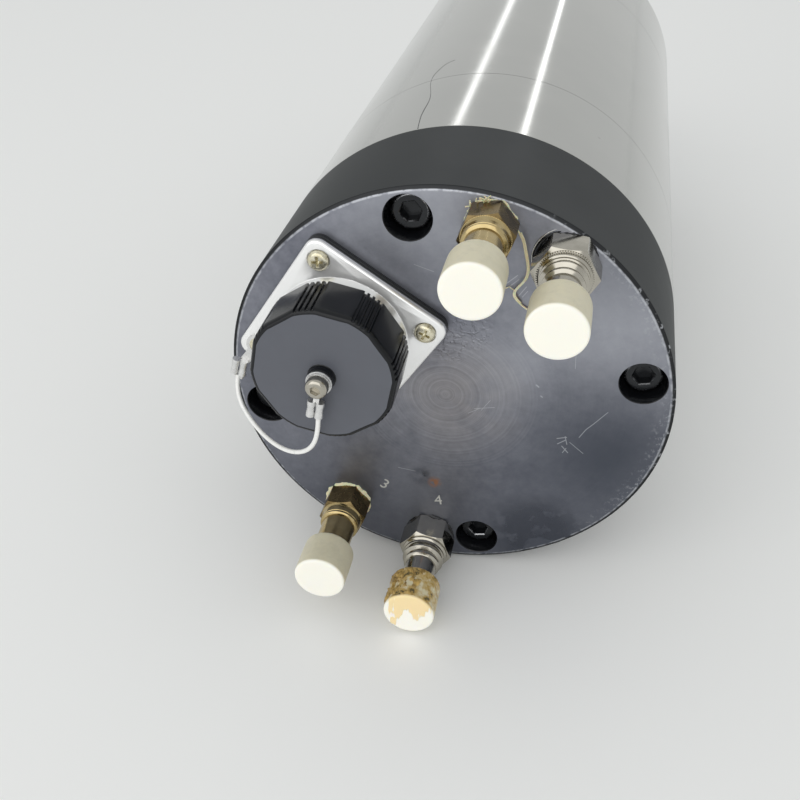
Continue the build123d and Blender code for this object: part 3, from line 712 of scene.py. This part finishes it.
CAD_LOOKS = {
    "cooling_jacket": "aluminium", "stator_core": "lamination", "rotor_core": "lamination",
    "rear_winding": "copper", "front_winding": "copper", "shaft": "turned_steel",
    "rear_bearing_outer_ring": "bearing_steel", "rear_bearing_inner_ring": "bearing_steel",
    "front_bearing_outer_ring": "bearing_steel", "front_bearing_inner_ring": "bearing_steel",
    "rear_ball_cage": "brass", "front_ball_cage": "brass", "lock_nut": "black_screw",
    "connector_insert": "black_plastic", "contact_blades": "chrome", "collet": "turned_steel",
}
for node, look in CAD_LOOKS.items():
    mesh = frame["nodes"][node].data
    mesh.materials.clear()
    mesh.materials.append(FINISH[look])

# -------- lanyard

ROUTE = [(-28.2, 25.2, 6.5), (-28.6, 25.0, 0.6), (-31.4, 24.0, -5.6), (-37.2, 21.4, -9.6),
         (-44.2, 17.6, -10.2), (-50.6, 13.2, -8.2), (-55.2, 9.4, -4.8), (-57.0, 6.6, -0.8),
         (-56.6, 5.7, 2.35)]
route = smooth_line([Vector((x, REAR_FACE - h, z)) * MM for x, h, z in ROUTE])
bm = bmesh.new()
add_tube(bm, route, 0.62 * MM, 12)
lanyard = finish_mesh(bm, "lanyard_wire", Matrix.Identity(4), ["wire"], None, weld=1e-9)
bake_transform(lanyard)
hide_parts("lanyard")

# -------- rear cover and its bolts

ROUND = 240  # sides of the largest turned shapes
BODY_R = 60.0
FACE_R = 58.75
COVER_PROFILE = [(FACE_R, 0.0), (58.95, -0.05), (59.9, -0.5), (BODY_R, -0.62), (BODY_R, -39.2),
                 (59.8, -39.45), (59.0, -39.5), (45.0, -39.5), (45.0, -14.0), (0, -14.0)]
WELL_MOUTH, WELL_R, WELL_DEPTH = 6.3, 6.1, 9.8
WELL_BEVEL = WELL_MOUTH - WELL_R
WELL_PROFILE = [(WELL_MOUTH, 0.0), (WELL_R + 0.06, 0.06 - WELL_BEVEL), (WELL_R, -WELL_BEVEL),
                (WELL_R, 0.3 - WELL_DEPTH), (WELL_R - 0.3, -WELL_DEPTH), (0, -WELL_DEPTH)]
SHANK_PROFILE = [(3.0, -WELL_DEPTH), (3.0, -51.2), (2.6, -51.5), (0, -51.5)]
HEAD_R, HEAD_HEIGHT, HEAD_TOP, HEAD_RIM = 5.0, 6.0, -3.8, 0.7
KEY_ACROSS, KEY_DEPTH = 5.0, 3.0
bolt_spots = [(HOLE_CIRCLE * cos(k * pi / 2), HOLE_CIRCLE * sin(k * pi / 2)) for k in range(4)]

bm = bmesh.new()
add_plate(bm, loop_of(FACE_R, ROUND), [loop_of(WELL_MOUTH, 64, c) for c in bolt_spots], 0.0)
add_turned(bm, COVER_PROFILE, ROUND)
for centre in bolt_spots:
    add_turned(bm, WELL_PROFILE, 64, 1, centre)
finish_mesh(bm, "rear_cover_body", layout(), ["black_steel", "well"], "root",
            node="rear_cover")


def socket_head(bm, centre):
    """Cylinder head with a rounded rim and a hexagon socket, both worn along their edges."""
    count = 72
    hexagon = [(KEY_ACROSS / sqrt(3) * cos(k * pi / 3), KEY_ACROSS / sqrt(3) * sin(k * pi / 3))
               for k in range(6)]
    mouth, wall, foot = ([(centre[0] + x * share, centre[1] + y * share) for x, y in hexagon]
                         for share in (1.1, 1.0, 0.86))
    land = HEAD_R - HEAD_RIM
    add_plate(bm, loop_of(land, count, centre), [mouth], HEAD_TOP)
    add_turned(bm, [(land, HEAD_TOP), (HEAD_R - 0.34, HEAD_TOP - 0.1),
                    (HEAD_R - 0.1, HEAD_TOP - 0.34), (HEAD_R, HEAD_TOP - HEAD_RIM)],
               count, 1, centre)
    add_turned(bm, [(HEAD_R, HEAD_TOP - HEAD_RIM), (HEAD_R, HEAD_TOP - HEAD_HEIGHT),
                    (0, HEAD_TOP - HEAD_HEIGHT)], count, 0, centre)
    add_rings(bm, [lift(mouth, HEAD_TOP), lift(wall, HEAD_TOP - 0.3)], 1)
    add_rings(bm, [lift(wall, HEAD_TOP - 0.3), lift(wall, HEAD_TOP - KEY_DEPTH),
                   lift(foot, HEAD_TOP - KEY_DEPTH), [(*centre, HEAD_TOP - KEY_DEPTH - 0.8)]])


bm = bmesh.new()
for centre in bolt_spots:
    socket_head(bm, centre)
    add_turned(bm, SHANK_PROFILE, 32, 0, centre)
finish_mesh(bm, "cover_socket_bolts", layout(), ["black_screw", "worn_black"], "root",
            node="cover_bolts")

# -------- ground body

JOINT_BEVEL = 0.07
for name, node, start, length, inner in (
    ("rear_housing_ring", "rear_bearing_housing", 39.5, 44.0, 27.5),
    ("motor_housing_tube", "motor_housing", 83.5, 132.5, 55.0),
    ("front_housing_ring", "front_bearing_housing", 216.0, 52.0, 34.0),
):
    bm = bmesh.new()
    add_turned(bm, [(inner, -start), (BODY_R - JOINT_BEVEL, -start),
                    (BODY_R, -start - JOINT_BEVEL), (BODY_R, -start - length + JOINT_BEVEL),
                    (BODY_R - JOINT_BEVEL, -start - length), (inner, -start - length),
                    (inner, -start)], ROUND)
    finish_mesh(bm, name, layout(), ["ground_steel"], "root", 30, node=node)

HAIRLINE = (  # angle round the body and place along Y
    (105.5, -109.6), (106.6, -100.9), (106.7, -94.4), (106.5, -86.1), (107.6, -78.3),
    (109.5, -69.5), (110.1, -61.3), (108.9, -55.4), (107.5, -50.5), (105.2, -49.2))
hairline = smooth_line([Vector((BODY_R * cos(radians(a)), y, BODY_R * sin(radians(a))))
                        for a, y in HAIRLINE], 4)
bm = bmesh.new()
add_tube(bm, hairline, lambda t: 0.13 - 0.08 * t, 6)
finish_mesh(bm, "hairline_mark", Matrix.Scale(MM, 4), ["well"], "root", 60, weld=1e-6)

# -------- fittings

BRASS_STEPS = [(6.0, 8.0), (5.75, 8.35), (5.6, 9.0), (5.6, 10.4), (5.45, 10.5), (5.45, 10.65),
               (5.6, 10.75), (5.55, 11.2), (5.2, 11.45)]
NICKEL_STEPS = [(6.5, 8.4), (6.5, 9.1), (6.3, 9.35), (6.0, 9.5), (6.0, 10.2), (5.45, 10.4),
                (5.45, 11.2), (5.9, 11.4), (5.9, 11.8), (5.3, 12.1), (4.9, 12.3), (4.9, 13.2),
                (5.2, 13.4), (5.2, 13.8), (4.6, 14.1)]
THREAD_TOP = 30.0


def neck_profile(steps, neck_r):
    """Turned part above the hexagon, with three thread crests and the rim of the bore."""
    profile = steps + [(neck_r, steps[-1][1] + 0.15), (neck_r, 22.5)]
    for k in range(3):
        h = 23.0 + k * 2.2
        profile += [(neck_r - 0.5, h), (neck_r, h + 0.5), (neck_r - 0.35, h + 2.0)]
    return profile + [(neck_r - 0.4, THREAD_TOP - 0.4), (neck_r - 0.8, THREAD_TOP),
                      (2.1, THREAD_TOP), (2.1, 24.0), (0, 24.0)]


def fitting(name, angle, turn, across, hex_h, chamfer_at, steps, neck_r, finishes, node, slot):
    """Hexagon fitting: hexagon, neck, and the thread that goes into the cover."""
    count = 144
    bm = bmesh.new()
    add_hexagon(bm, across, hex_h, chamfer_at, count)
    add_turned(bm, [(chamfer_at, hex_h), (steps[0][0], hex_h)], count, 1)
    add_turned(bm, neck_profile(steps, neck_r), 72, 1)
    add_turned(bm, [(4.2, 0.0), (4.2, -9.0), (0, -9.0)], 40)
    finish_mesh(bm, name, at_port(angle, turn), finishes, "root", 28, node=node)


BRASS_PARTS = (BRASS_STEPS, 4.8, ["brass", "brass_bright"])
NICKEL_PARTS = (NICKEL_STEPS, 4.4, ["nickel", "nickel"])
fitting("brass_fitting_1", BRASS_TOP, 40.0, 12.4, 8.0, 6.15, *BRASS_PARTS, "brass_fittings",
        "brass")
fitting("brass_fitting_3", BRASS_LOW, 37.7, 12.2, 8.0, 6.05, *BRASS_PARTS, None, "brass")
fitting("nickel_fitting_2", NICKEL_TOP, 28.0, 14.4, 8.4, 7.1, *NICKEL_PARTS,
        "nickel_fittings", "nickel")
fitting("nickel_fitting_4", NICKEL_LOW, 20.2, 13.5, 8.5, 6.7, *NICKEL_PARTS, None, "nickel")


def sealant_ring(name, angle, outer, height, seed, finish, ragged):
    """A ragged squeezed-out ring of tape or sealant at a fitting's foot."""
    inner, foot, count = 5.2, 0.02, 90
    rng = random.Random(seed)
    waves = [(rng.randint(2, 17), rng.random() * 2 * pi, rng.random()) for _ in range(7)]
    rings = [[], [], [], []]
    for i in range(count):
        a = 2 * pi * i / count
        wave = sum(w * sin(n * a + p) for n, p, w in waves) / 3.0
        reach = outer + ragged * wave + rng.uniform(-0.12, 0.12)
        top = height * (0.75 + 0.35 * sin(5 * a + seed)) + rng.uniform(-0.1, 0.1)
        for ring, r, h in zip(rings, (inner, inner, reach - 0.25, reach),
                              (foot, max(0.2, top), max(0.12, top * 0.7), foot)):
            ring.append((r * cos(a), r * sin(a), h))
    bm = bmesh.new()
    add_rings(bm, rings + [rings[0]])
    finish_mesh(bm, name, at_port(angle), [finish], "root", 60)


sealant_ring("tape_ring_3", BRASS_LOW, 7.0, 0.9, 3, "tape", 0.35)
sealant_ring("tape_ring_1", BRASS_TOP, 6.6, 0.5, 5, "tape", 0.45)
sealant_ring("foot_ring_4", NICKEL_LOW, 7.3, 0.7, 8, "well", 0.12)
sealant_ring("foot_ring_2", NICKEL_TOP, 7.5, 0.6, 11, "well", 0.1)


def tape_wisps(name, angle, lean, seed, count):
    """Short frayed ends of thread tape standing out from under a hexagon."""
    rng = random.Random(seed)
    bm = bmesh.new()
    for _ in range(count):
        a = radians(lean + rng.uniform(-34, 34))
        start = Vector((6.2 * cos(a), 6.2 * sin(a), rng.uniform(0.2, 1.2)))
        outward = Vector((cos(a), sin(a), rng.uniform(0.1, 0.9))).normalized()
        bend = Vector((-sin(a), cos(a), 0)) * rng.uniform(-1.4, 1.4)
        reach = rng.uniform(0.9, 2.0)
        path = [start + outward * reach * t + bend * t * t for t in (0, 0.35, 0.7, 1.0)]
        add_tube(bm, path, rng.uniform(0.1, 0.2), 5)
    finish_mesh(bm, name, at_port(angle), ["tape"], "root", 60)


tape_wisps("tape_wisps_1", BRASS_TOP, 105.0, 2, 14)

# -------- soft caps

CAP_R, CAP_MOUTH, CAP_END = 7.1, 21.5, 32.95


def soft_cap(number, angle, finish, bore):
    """Soft cap: nearly straight side, rounded front edge, thick rim at the mouth."""
    body = f"port_cap_{number}"
    bm = bmesh.new()
    add_turned(bm, rounded([(bore + 0.2, CAP_MOUTH), (6.9, CAP_MOUTH), (7.05, 22.3),
                            (CAP_R, 26.0), (CAP_R, 32.9), (0.0, CAP_END)], 0.75, 6))
    add_turned(bm, [(bore + 0.2, CAP_MOUTH), (bore, 21.8), (bore, 30.3), (0.0, 30.3)])
    finish_mesh(bm, f"soft_cap_{number}", at_port(angle), [finish], body, 60, node=body)


soft_cap(1, NICKEL_TOP, "cap_rubber", 4.7)
soft_cap(2, BRASS_TOP, "cap_rubber", 5.1)
soft_cap(3, BRASS_LOW, "cap_rubber", 5.1)
soft_cap(4, NICKEL_LOW, "stained_rubber", 4.7)


def dried_crust(name, angle, body, seed):
    """Wrinkled crust of dried sealant standing on the upper side of a soft cap."""
    around_steps, along_steps = 96, 56
    first_angle, spread = 62, 118
    foot, length = 21.7, 10.6
    bm = bmesh.new()
    grid = []
    for i in range(around_steps + 1):
        share = i / around_steps
        around = radians(first_angle + spread * share)
        line = []
        for j in range(along_steps + 1):
            height = foot + length * j / along_steps
            place = Vector((around * CAP_R, height * 0.7, seed))
            folds = noise.noise(place * 0.55) + 0.7 * abs(noise.noise(place * 1.5)) - 0.16
            fade = min(1.0, share * 4, (1 - share) * 5, j / 6, (along_steps - j) / 5)
            reach = 7.06 + max(-0.12, min(folds * 1.5, 0.6)) * fade - 0.05 * (1 - fade)
            line.append(bm.verts.new((reach * cos(around), reach * sin(around), height)))
        grid.append(line)
    for first, second in zip(grid, grid[1:]):
        for j in range(along_steps):
            corners = (first[j], second[j], second[j + 1], first[j + 1])
            if max(corner.co.xy.length for corner in corners) > 7.04:
                bm.faces.new(corners)
    bmesh.ops.delete(bm, geom=[v for v in bm.verts if not v.link_faces], context="VERTS")
    finish_mesh(bm, name, at_port(angle), ["crust"], body, 70)


dried_crust("dried_crust_4", NICKEL_LOW, "port_cap_4", 4.0)

# -------- connector

HALF, CORNER = 21.1, 3.5  # half width and corner radius of the square flange
FLANGE_TOP = 4.2
SCREW_AT = 16.25
SCREW_HOLE = 3.05
BARREL_HOLE = 18.4
GASKET = [(HALF - 0.25, 0.0), (HALF - 0.05, 0.1), (HALF - 0.05, 0.75), (HALF - 0.35, 0.85),
          (HALF - 0.35, 0.95), (HALF, 1.05), (HALF, 1.75), (HALF - 0.3, 1.85),
          (HALF - 0.3, 1.95), (HALF - 0.05, 2.05), (HALF - 0.05, 2.6), (HALF - 0.5, 2.7)]
PLATE = [(HALF - 0.1, 2.65), (HALF, 2.8), (HALF, 3.45), (HALF - 0.1, 3.8), (HALF - 0.35, 4.08),
         (HALF - 0.75, FLANGE_TOP)]
screw_spots = [(SCREW_AT * sx, SCREW_AT * sz) for sx in (-1, 1) for sz in (-1, 1)]


def square_loop(half):
    """Rounded square, centred, anticlockwise, at the flange's outline or a step inside it."""
    steps = 10
    corner = CORNER + half - HALF
    out = []
    for quadrant, (cx, cy) in enumerate([(1, 1), (-1, 1), (-1, -1), (1, -1)]):
        for k in range(steps + 1):
            a = quadrant * pi / 2 + k * pi / 2 / steps
            out.append((cx * (half - corner) + corner * cos(a),
                        cy * (half - corner) + corner * sin(a)))
    return out


bm = bmesh.new()
add_rings(bm, [lift(square_loop(half), h) for half, h in GASKET] + [[(0, 0, 2.7)]])
finish_mesh(bm, "flange_gasket", at_connector(FLANGE_TURN), ["gasket"], "root",
            node="connector_gasket")

bm = bmesh.new()
add_rings(bm, [[(0, 0, 2.65)]] + [lift(square_loop(half), h) for half, h in PLATE])
add_plate(bm, square_loop(HALF - 0.75), [loop_of(BARREL_HOLE, 120)]
          + [loop_of(SCREW_HOLE, 48, c) for c in screw_spots], FLANGE_TOP)
for centre in screw_spots:
    add_turned(bm, [(SCREW_HOLE, FLANGE_TOP), (2.95, 4.1), (2.95, 3.4), (0, 3.4)], 48, 0, centre)
dome = [(BARREL_HOLE, FLANGE_TOP), (18.15, 4.3), (17.9, 4.7), (17.4, 5.6), (16.9, 6.4),
        (16.6, 6.85), (16.2, 7.0), (15.6, 7.0), (15.0, 7.0)]
thread = []
for k in range(7):
    h = 8.0 + k * 1.3
    thread += [(14.55, h), (14.95, h + 0.45), (14.95, h + 0.75), (14.55, h + 1.2)]
barrel = [(15.0, 7.3), (14.7, 7.6)] + thread + [(14.6, 17.6), (14.2, 18.0), (12.8, 18.0),
                                               (12.5, 17.7), (12.5, 5.0), (9.5, 5.0)]
add_turned(bm, dome + barrel, 120)
finish_mesh(bm, "flanged_shell", at_connector(FLANGE_TURN), ["chrome"], "root",
            node="connector_shell")


def flange_screw(name, centre, turn):
    """Pan-head cross-recess screw."""
    arm, wide, top = 1.5, 0.36, 5.35
    quarter = [(arm, wide), (wide, wide), (wide, arm)]
    cross = quarter + [(-x, y) for x, y in quarter[::-1]]
    cross = spun(cross + [(-x, -y) for x, y in cross], radians(turn))
    bm = bmesh.new()
    add_plate(bm, loop_of(1.75, 48), [cross], top)
    add_turned(bm, [(1.75, top), (2.1, 5.25), (2.5, 4.95), (2.7, 4.5), (2.72, 4.0),
                    (2.5, 3.5), (0, 3.5)], 48)
    low = [(x * 0.55, y * 0.55) for x, y in cross]
    add_rings(bm, [lift(cross, top), lift(low, 4.25), [(0, 0, 3.9)]])
    finish_mesh(bm, name, at_connector(FLANGE_TURN) @ Matrix.Translation((*centre, 0)),
                ["zinc"], "root")


for number, centre in enumerate(screw_spots, start=1):
    flange_screw(f"flange_screw_{number}", centre, 20.0 + 27 * number)

# -------- dust cap and its screw

DUST_BORE, DUST_FOOT, DUST_TOP, HUB_TOP = 15.3, 7.6, 22.0, 24.4
CAP_TIERS = ((DUST_FOOT, 0.5), (7.65, 0.2), (7.95,), (20.4,), (21.0, 0.05, 0.9),
             (21.45, 0.25, 0.45), (21.75, 0.5, 0.1), (21.93, 0.85, 0.0), (DUST_TOP, 1.3, 0.0))


def cap_outline():
    """Angles round the dust cap and the groove's depth there: 8 flats, 4 grooves a corner."""
    marks = []
    for corner in range(8):
        for k in range(4):
            middle = corner * 45.0 + (k - 1.5) * 4.6
            for off, depth in ((-1.35, 0.0), (-1.2, 0.1), (-0.75, 0.65), (0.0, 0.72),
                               (0.75, 0.65), (1.2, 0.1), (1.35, 0.0)):
                marks.append((middle + off, depth))
        for k in range(9):
            marks.append((corner * 45.0 + 9.6 + k * 25.8 / 8, 0.0))
    return sorted(marks)


def cap_ring(height, shrink=0.0, grooved=1.0):
    out = []
    for angle, depth in cap_outline():
        a = radians(angle)
        flat = 18.6 / cos(radians((angle % 45.0) - 22.5))
        r = min(19.1, flat) - shrink - depth * grooved
        out.append((r * cos(a), r * sin(a), height))
    return out


def bore_ring(height):
    return [(DUST_BORE * cos(radians(a)), DUST_BORE * sin(radians(a)), height)
            for a, _ in cap_outline()]


bm = bmesh.new()
tiers = [cap_ring(*tier) for tier in CAP_TIERS]
add_rings(bm, tiers)
add_plate(bm, [p[:2] for p in tiers[-1]], [loop_of(3.7, 64)], DUST_TOP, 1)
add_turned(bm, [(3.7, DUST_TOP), (3.5, 22.15), (3.45, 24.0), (3.2, HUB_TOP), (1.5, HUB_TOP)], 64)
add_rings(bm, [tiers[0], bore_ring(DUST_FOOT), bore_ring(19.0), [(0, 0, 19.0)]])
finish_mesh(bm, "grooved_dust_cap", at_connector(), ["black_plastic", "cap_face"], "dust_cap",
            25, node="dust_cap")

bm = bmesh.new()
add_turned(bm, [(1.5, HUB_TOP), (1.5, 25.8), (2.75, 25.8), (2.9, 25.95), (2.9, 26.5)], 48)
hexagon = [(1.45 * cos(k * pi / 3 + 0.4), 1.45 * sin(k * pi / 3 + 0.4)) for k in range(6)]
add_turned(bm, [(2.9, 26.5), (2.85, 27.3), (2.6, 27.8), (2.2, 28.1), (1.8, 28.2)], 48)
add_plate(bm, loop_of(1.8, 48), [hexagon], 28.2)
add_rings(bm, [lift(hexagon, 28.2), lift(hexagon, 26.9), [(0, 0, 26.6)]])
finish_mesh(bm, "swivel_screw_head", at_connector(), ["nickel"], "dust_cap",
            node="swivel_screw")

# -------- eyelet, tab and ferrules

EYELET_TURN = -110.9
FERRULE = (-53.8, 16.4)


def twin_barrel(bm, x=0.0, z=0.0):
    """Two crimped barrels side by side along +X, round a centre, and the wire's cut end."""
    half, gap, radius = 2.4, 1.1, 1.12
    for side in (-1, 1):
        path = [Vector((x - half + half * k / 4, side * gap, z)) for k in range(9)]
        add_tube(bm, path, lambda t: radius * (0.9 if 0.3 < t < 0.7 else 1.0), 14)
    add_tube(bm, [Vector((x + half + end, gap, z)) for end in (-0.2, 1.2)], 0.55, 10)


def washer(bm, outer, low, high):
    inner, edge = 1.6, 0.1
    add_turned(bm, [(inner, low), (outer - edge, low), (outer, low + edge),
                    (outer, high - edge), (outer - edge, high), (inner, high), (inner, low)],
               48)


bm = bmesh.new()
washer(bm, 3.4, 24.5, 25.05)
washer(bm, 3.15, 25.12, 25.68)
strip = [(2.6, 0.75), (6.0, 0.75), (6.0, -0.75), (2.6, -0.75)]
add_plate(bm, strip, [], 25.3)
add_rings(bm, [lift(strip, 25.3), lift(strip, 24.7)])
add_plate(bm, strip, [], 24.7)
twin_barrel(bm, 7.8, 25.1)
finish_mesh(bm, "lanyard_eyelet", at_connector(EYELET_TURN), ["crimp"], "cap_eyelet", 45,
            node="cap_eyelet")

TAB_X = CONNECTOR[0] - 2 * SCREW_AT / sqrt(2)
tab_turn = degrees(atan2(FERRULE[1] - CONNECTOR[1], FERRULE[0] - TAB_X))
tongue = [(2.2, 1.5), (8.2, 1.2), (8.2, -1.2), (2.2, -1.5)]
bm = bmesh.new()
washer(bm, 3.4, 4.22, 4.95)
add_rings(bm, [lift(tongue, 4.3), lift(tongue, 4.9), [(5.0, 0, 4.95)]])
finish_mesh(bm, "corner_tab_plate", layout(TAB_X, CONNECTOR[1], 0, tab_turn), ["crimp"], "root",
            45, node="corner_tab")
bm = bmesh.new()
twin_barrel(bm)
finish_mesh(bm, "corner_ferrule", layout(*FERRULE, 5.6, -116.0), ["crimp"], "root", 45)

# -------- loose strand, spot face, numbers

STRAND = (
    (14.6, 54.0, 3.0), (17.3, 50.4, 2.6), (18.4, 45.5, 2.1), (19.4, 41.3, 2.0),
    (18.9, 38.1, 1.6), (16.6, 35.0, 1.0), (16.0, 33.0, 0.6), (17.6, 31.0, 0.5),
    (19.6, 29.5, 0.5), (21.6, 28.2, 0.5))
STRAND_FORK = ((16.4, 34.4, 0.8), (15.0, 35.2, 0.5), (14.2, 34.6, 0.3))
SECOND_PLY = Vector((0.36, -0.12, 0.2))
NICKEL_TOP_AT = (28.4, 43.56)

strand = smooth_line([face_point(*p) for p in STRAND], 4)
bm = bmesh.new()
add_tube(bm, strand, 0.24, 8)
add_tube(bm, [point + SECOND_PLY for point in strand[2:-6]], 0.2, 8)
add_tube(bm, [face_point(*p) for p in STRAND_FORK], 0.14, 6)
finish_mesh(bm, "loose_tape_strand", Matrix.Scale(MM, 4), ["tape"], "root", 60, weld=1e-6)


def add_edge_arc(bm, reach, first, last, thick, index=0):
    """A tapering bead on the rear face, round the upper nickel fitting."""
    x, z = NICKEL_TOP_AT
    path = [face_point(x + reach * cos(radians(a)), z + reach * sin(radians(a)), 0.0)
            for a in range(first, last, 4)]
    add_tube(bm, path, lambda t: 0.02 + thick * sin(pi * t) ** 0.5, 8, index)


bm = bmesh.new()
add_edge_arc(bm, 8.6, 112, 216, 0.26)
add_edge_arc(bm, 7.9, 106, 216, 0.5, 1)
finish_mesh(bm, "spot_face_2", Matrix.Scale(MM, 4), ["turned_steel", "well"], "root", 60,
            weld=1e-6)


def label(text, x, z, turn):
    """A small number marked as a thin light layer on the rear face."""
    name = f"label_{text}"
    curve = bpy.data.curves.new(name, "FONT")
    curve.body = text
    curve.size = 5.0
    curve.extrude = 0.01
    curve.align_x = "CENTER"
    text_object = placed(name, curve)
    mesh = bpy.data.meshes.new_from_object(text_object)
    bpy.data.objects.remove(text_object)
    mesh.transform(layout(x, z, 0.02, turn))
    mesh.name = name
    mesh.materials.clear()
    mesh.materials.append(FINISH["engraving"])
    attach(placed(name, mesh), "root")


label("3", -25.0, -32.0, -40.0)
label("4", -9.0, -39.0, 0.0)

# -------- nose


def slotted_loop(radius, half, floor=None):
    """Circle with four straight slots down to the floor's radius, or a plain one to match."""
    steps = 24
    edge = asin(half / radius)
    spread = pi / 2 - 2 * edge
    if floor is None:
        slot = [(radius * cos(edge * t), radius * sin(edge * t)) for t in (-1, -1 / 3, 1 / 3, 1)]
    else:
        slot = [(radius * cos(edge), -half), (floor, -half), (floor, half),
                (radius * cos(edge), half)]
    arc = [(radius * cos(edge + spread * j / steps), radius * sin(edge + spread * j / steps))
           for j in range(1, steps)]
    return [point for k in range(4) for point in spun(slot + arc, 2 * pi * k / 4)]


def slotted_ring(name, node, body, finish, radius, half, floor, stations, bevel, bore):
    """Turned ring with slots cut into its front; stations and bore run along Y."""
    back, middle, front = (REAR_FACE - station for station in stations)
    face_loop = slotted_loop(radius - bevel, half, floor)
    bm = bmesh.new()
    add_rings(bm, [lift(slotted_loop(bore[-1][0], half), back),
                   lift(slotted_loop(radius - 0.3, half), back),
                   lift(slotted_loop(radius, half), back - 0.3),
                   lift(slotted_loop(radius, half), middle + 0.1),
                   lift(slotted_loop(radius, half), middle),
                   lift(slotted_loop(radius, half, floor), middle),
                   lift(slotted_loop(radius, half, floor), front + bevel),
                   lift(face_loop, front)])
    add_plate(bm, face_loop, [loop_of(bore[0][0], 96)], front)
    add_turned(bm, [(reach, REAR_FACE - station) for reach, station in bore])
    finish_mesh(bm, name, layout(), [finish], body, 28, node=node)


slotted_ring("slotted_front_cover", "front_cover", "root", "turned_steel",
             46.0, 3.5, 42.0, (118.25, 122.25, 126.25), 0.4,
             [(41.0, 126.25), (26.4, 126.25), (26.0, 125.85), (26.0, 118.25)])
slotted_ring("slotted_collet_nut", "collet_nut", "collet_nut", "black_screw",
             21.0, 3.0, 18.0, (139.95, 147.95, 159.95), 1.5,
             [(17.2, 159.95), (11.0, 159.95), (12.8, 156.95), (12.8, 155.25), (16.1, 155.25),
              (16.1, 139.95)])

LABYRINTH = (  # radius and station along Y
    (20.0, 118.25), (25.6, 118.25), (25.6, 126.65), (30.6, 126.65), (31.0, 127.05),
    (31.0, 129.0), (30.3, 129.3), (30.3, 130.2), (31.0, 130.5), (31.0, 132.25),
    (30.6, 132.65), (20.3, 132.65), (20.0, 132.35), (20.0, 118.25))
bm = bmesh.new()
add_turned(bm, [(reach, REAR_FACE - station) for reach, station in LABYRINTH], 160)
finish_mesh(bm, "grooved_labyrinth_ring", layout(), ["turned_steel"], "shaft", 28,
            node="labyrinth_ring")

# -------- room and light

# Sizes and places of the room are metres.
FLOOR_LEVEL, FLOOR_SIZE = -0.0601, 14.0
STRIP_AWAY, STRIP_ALONG, STRIP_LENGTH = 0.8, 3.2, 3.6

bm = bmesh.new()
bmesh.ops.create_grid(bm, x_segments=1, y_segments=1, size=FLOOR_SIZE)
floor_mesh = bpy.data.meshes.new("floor")
bm.to_mesh(floor_mesh)
bm.free()
floor = placed("floor", floor_mesh)
floor.location = (0, 0, FLOOR_LEVEL)
floor_mesh.materials.append(shader("floor_paint", rgb(0.905, 0.911, 0.908), 0.55)[0])

world = bpy.data.worlds.new("world")
bpy.context.scene.world = world
world.use_nodes = True
background = world.node_tree.nodes["Background"]
background.inputs[0].default_value = rgb(0.68, 0.689, 0.683)
background.inputs[1].default_value = 1.0


def area_light(name, place, target, size_x, size_y, power, colour=(1, 1, 1)):
    data = bpy.data.lights.new(name, "AREA")
    data.shape = "RECTANGLE"
    data.size = size_x
    data.size_y = size_y
    data.energy = power
    data.color = colour
    lamp = placed(name, data)
    lamp.location = place
    lamp.rotation_euler = (Vector(target) - Vector(place)).to_track_quat("-Z", "Y").to_euler()


for name, angle, width, power in (("strip_left", 120.0, 0.045, 1.1),
                                  ("strip_right", 77.3, 0.035, 1.3)):
    place = (STRIP_AWAY * cos(radians(angle)), STRIP_ALONG, STRIP_AWAY * sin(radians(angle)))
    area_light(name, place, (0, STRIP_ALONG, 0), STRIP_LENGTH, width, power)
area_light("front_window", (-0.5, -1.8, 0.95), (0, -0.15, 0), 3.0, 2.0, 20.5, (1, 0.99, 0.98))

view = bpy.context.scene.view_settings
view.view_transform = "Standard"
view.look = "None"
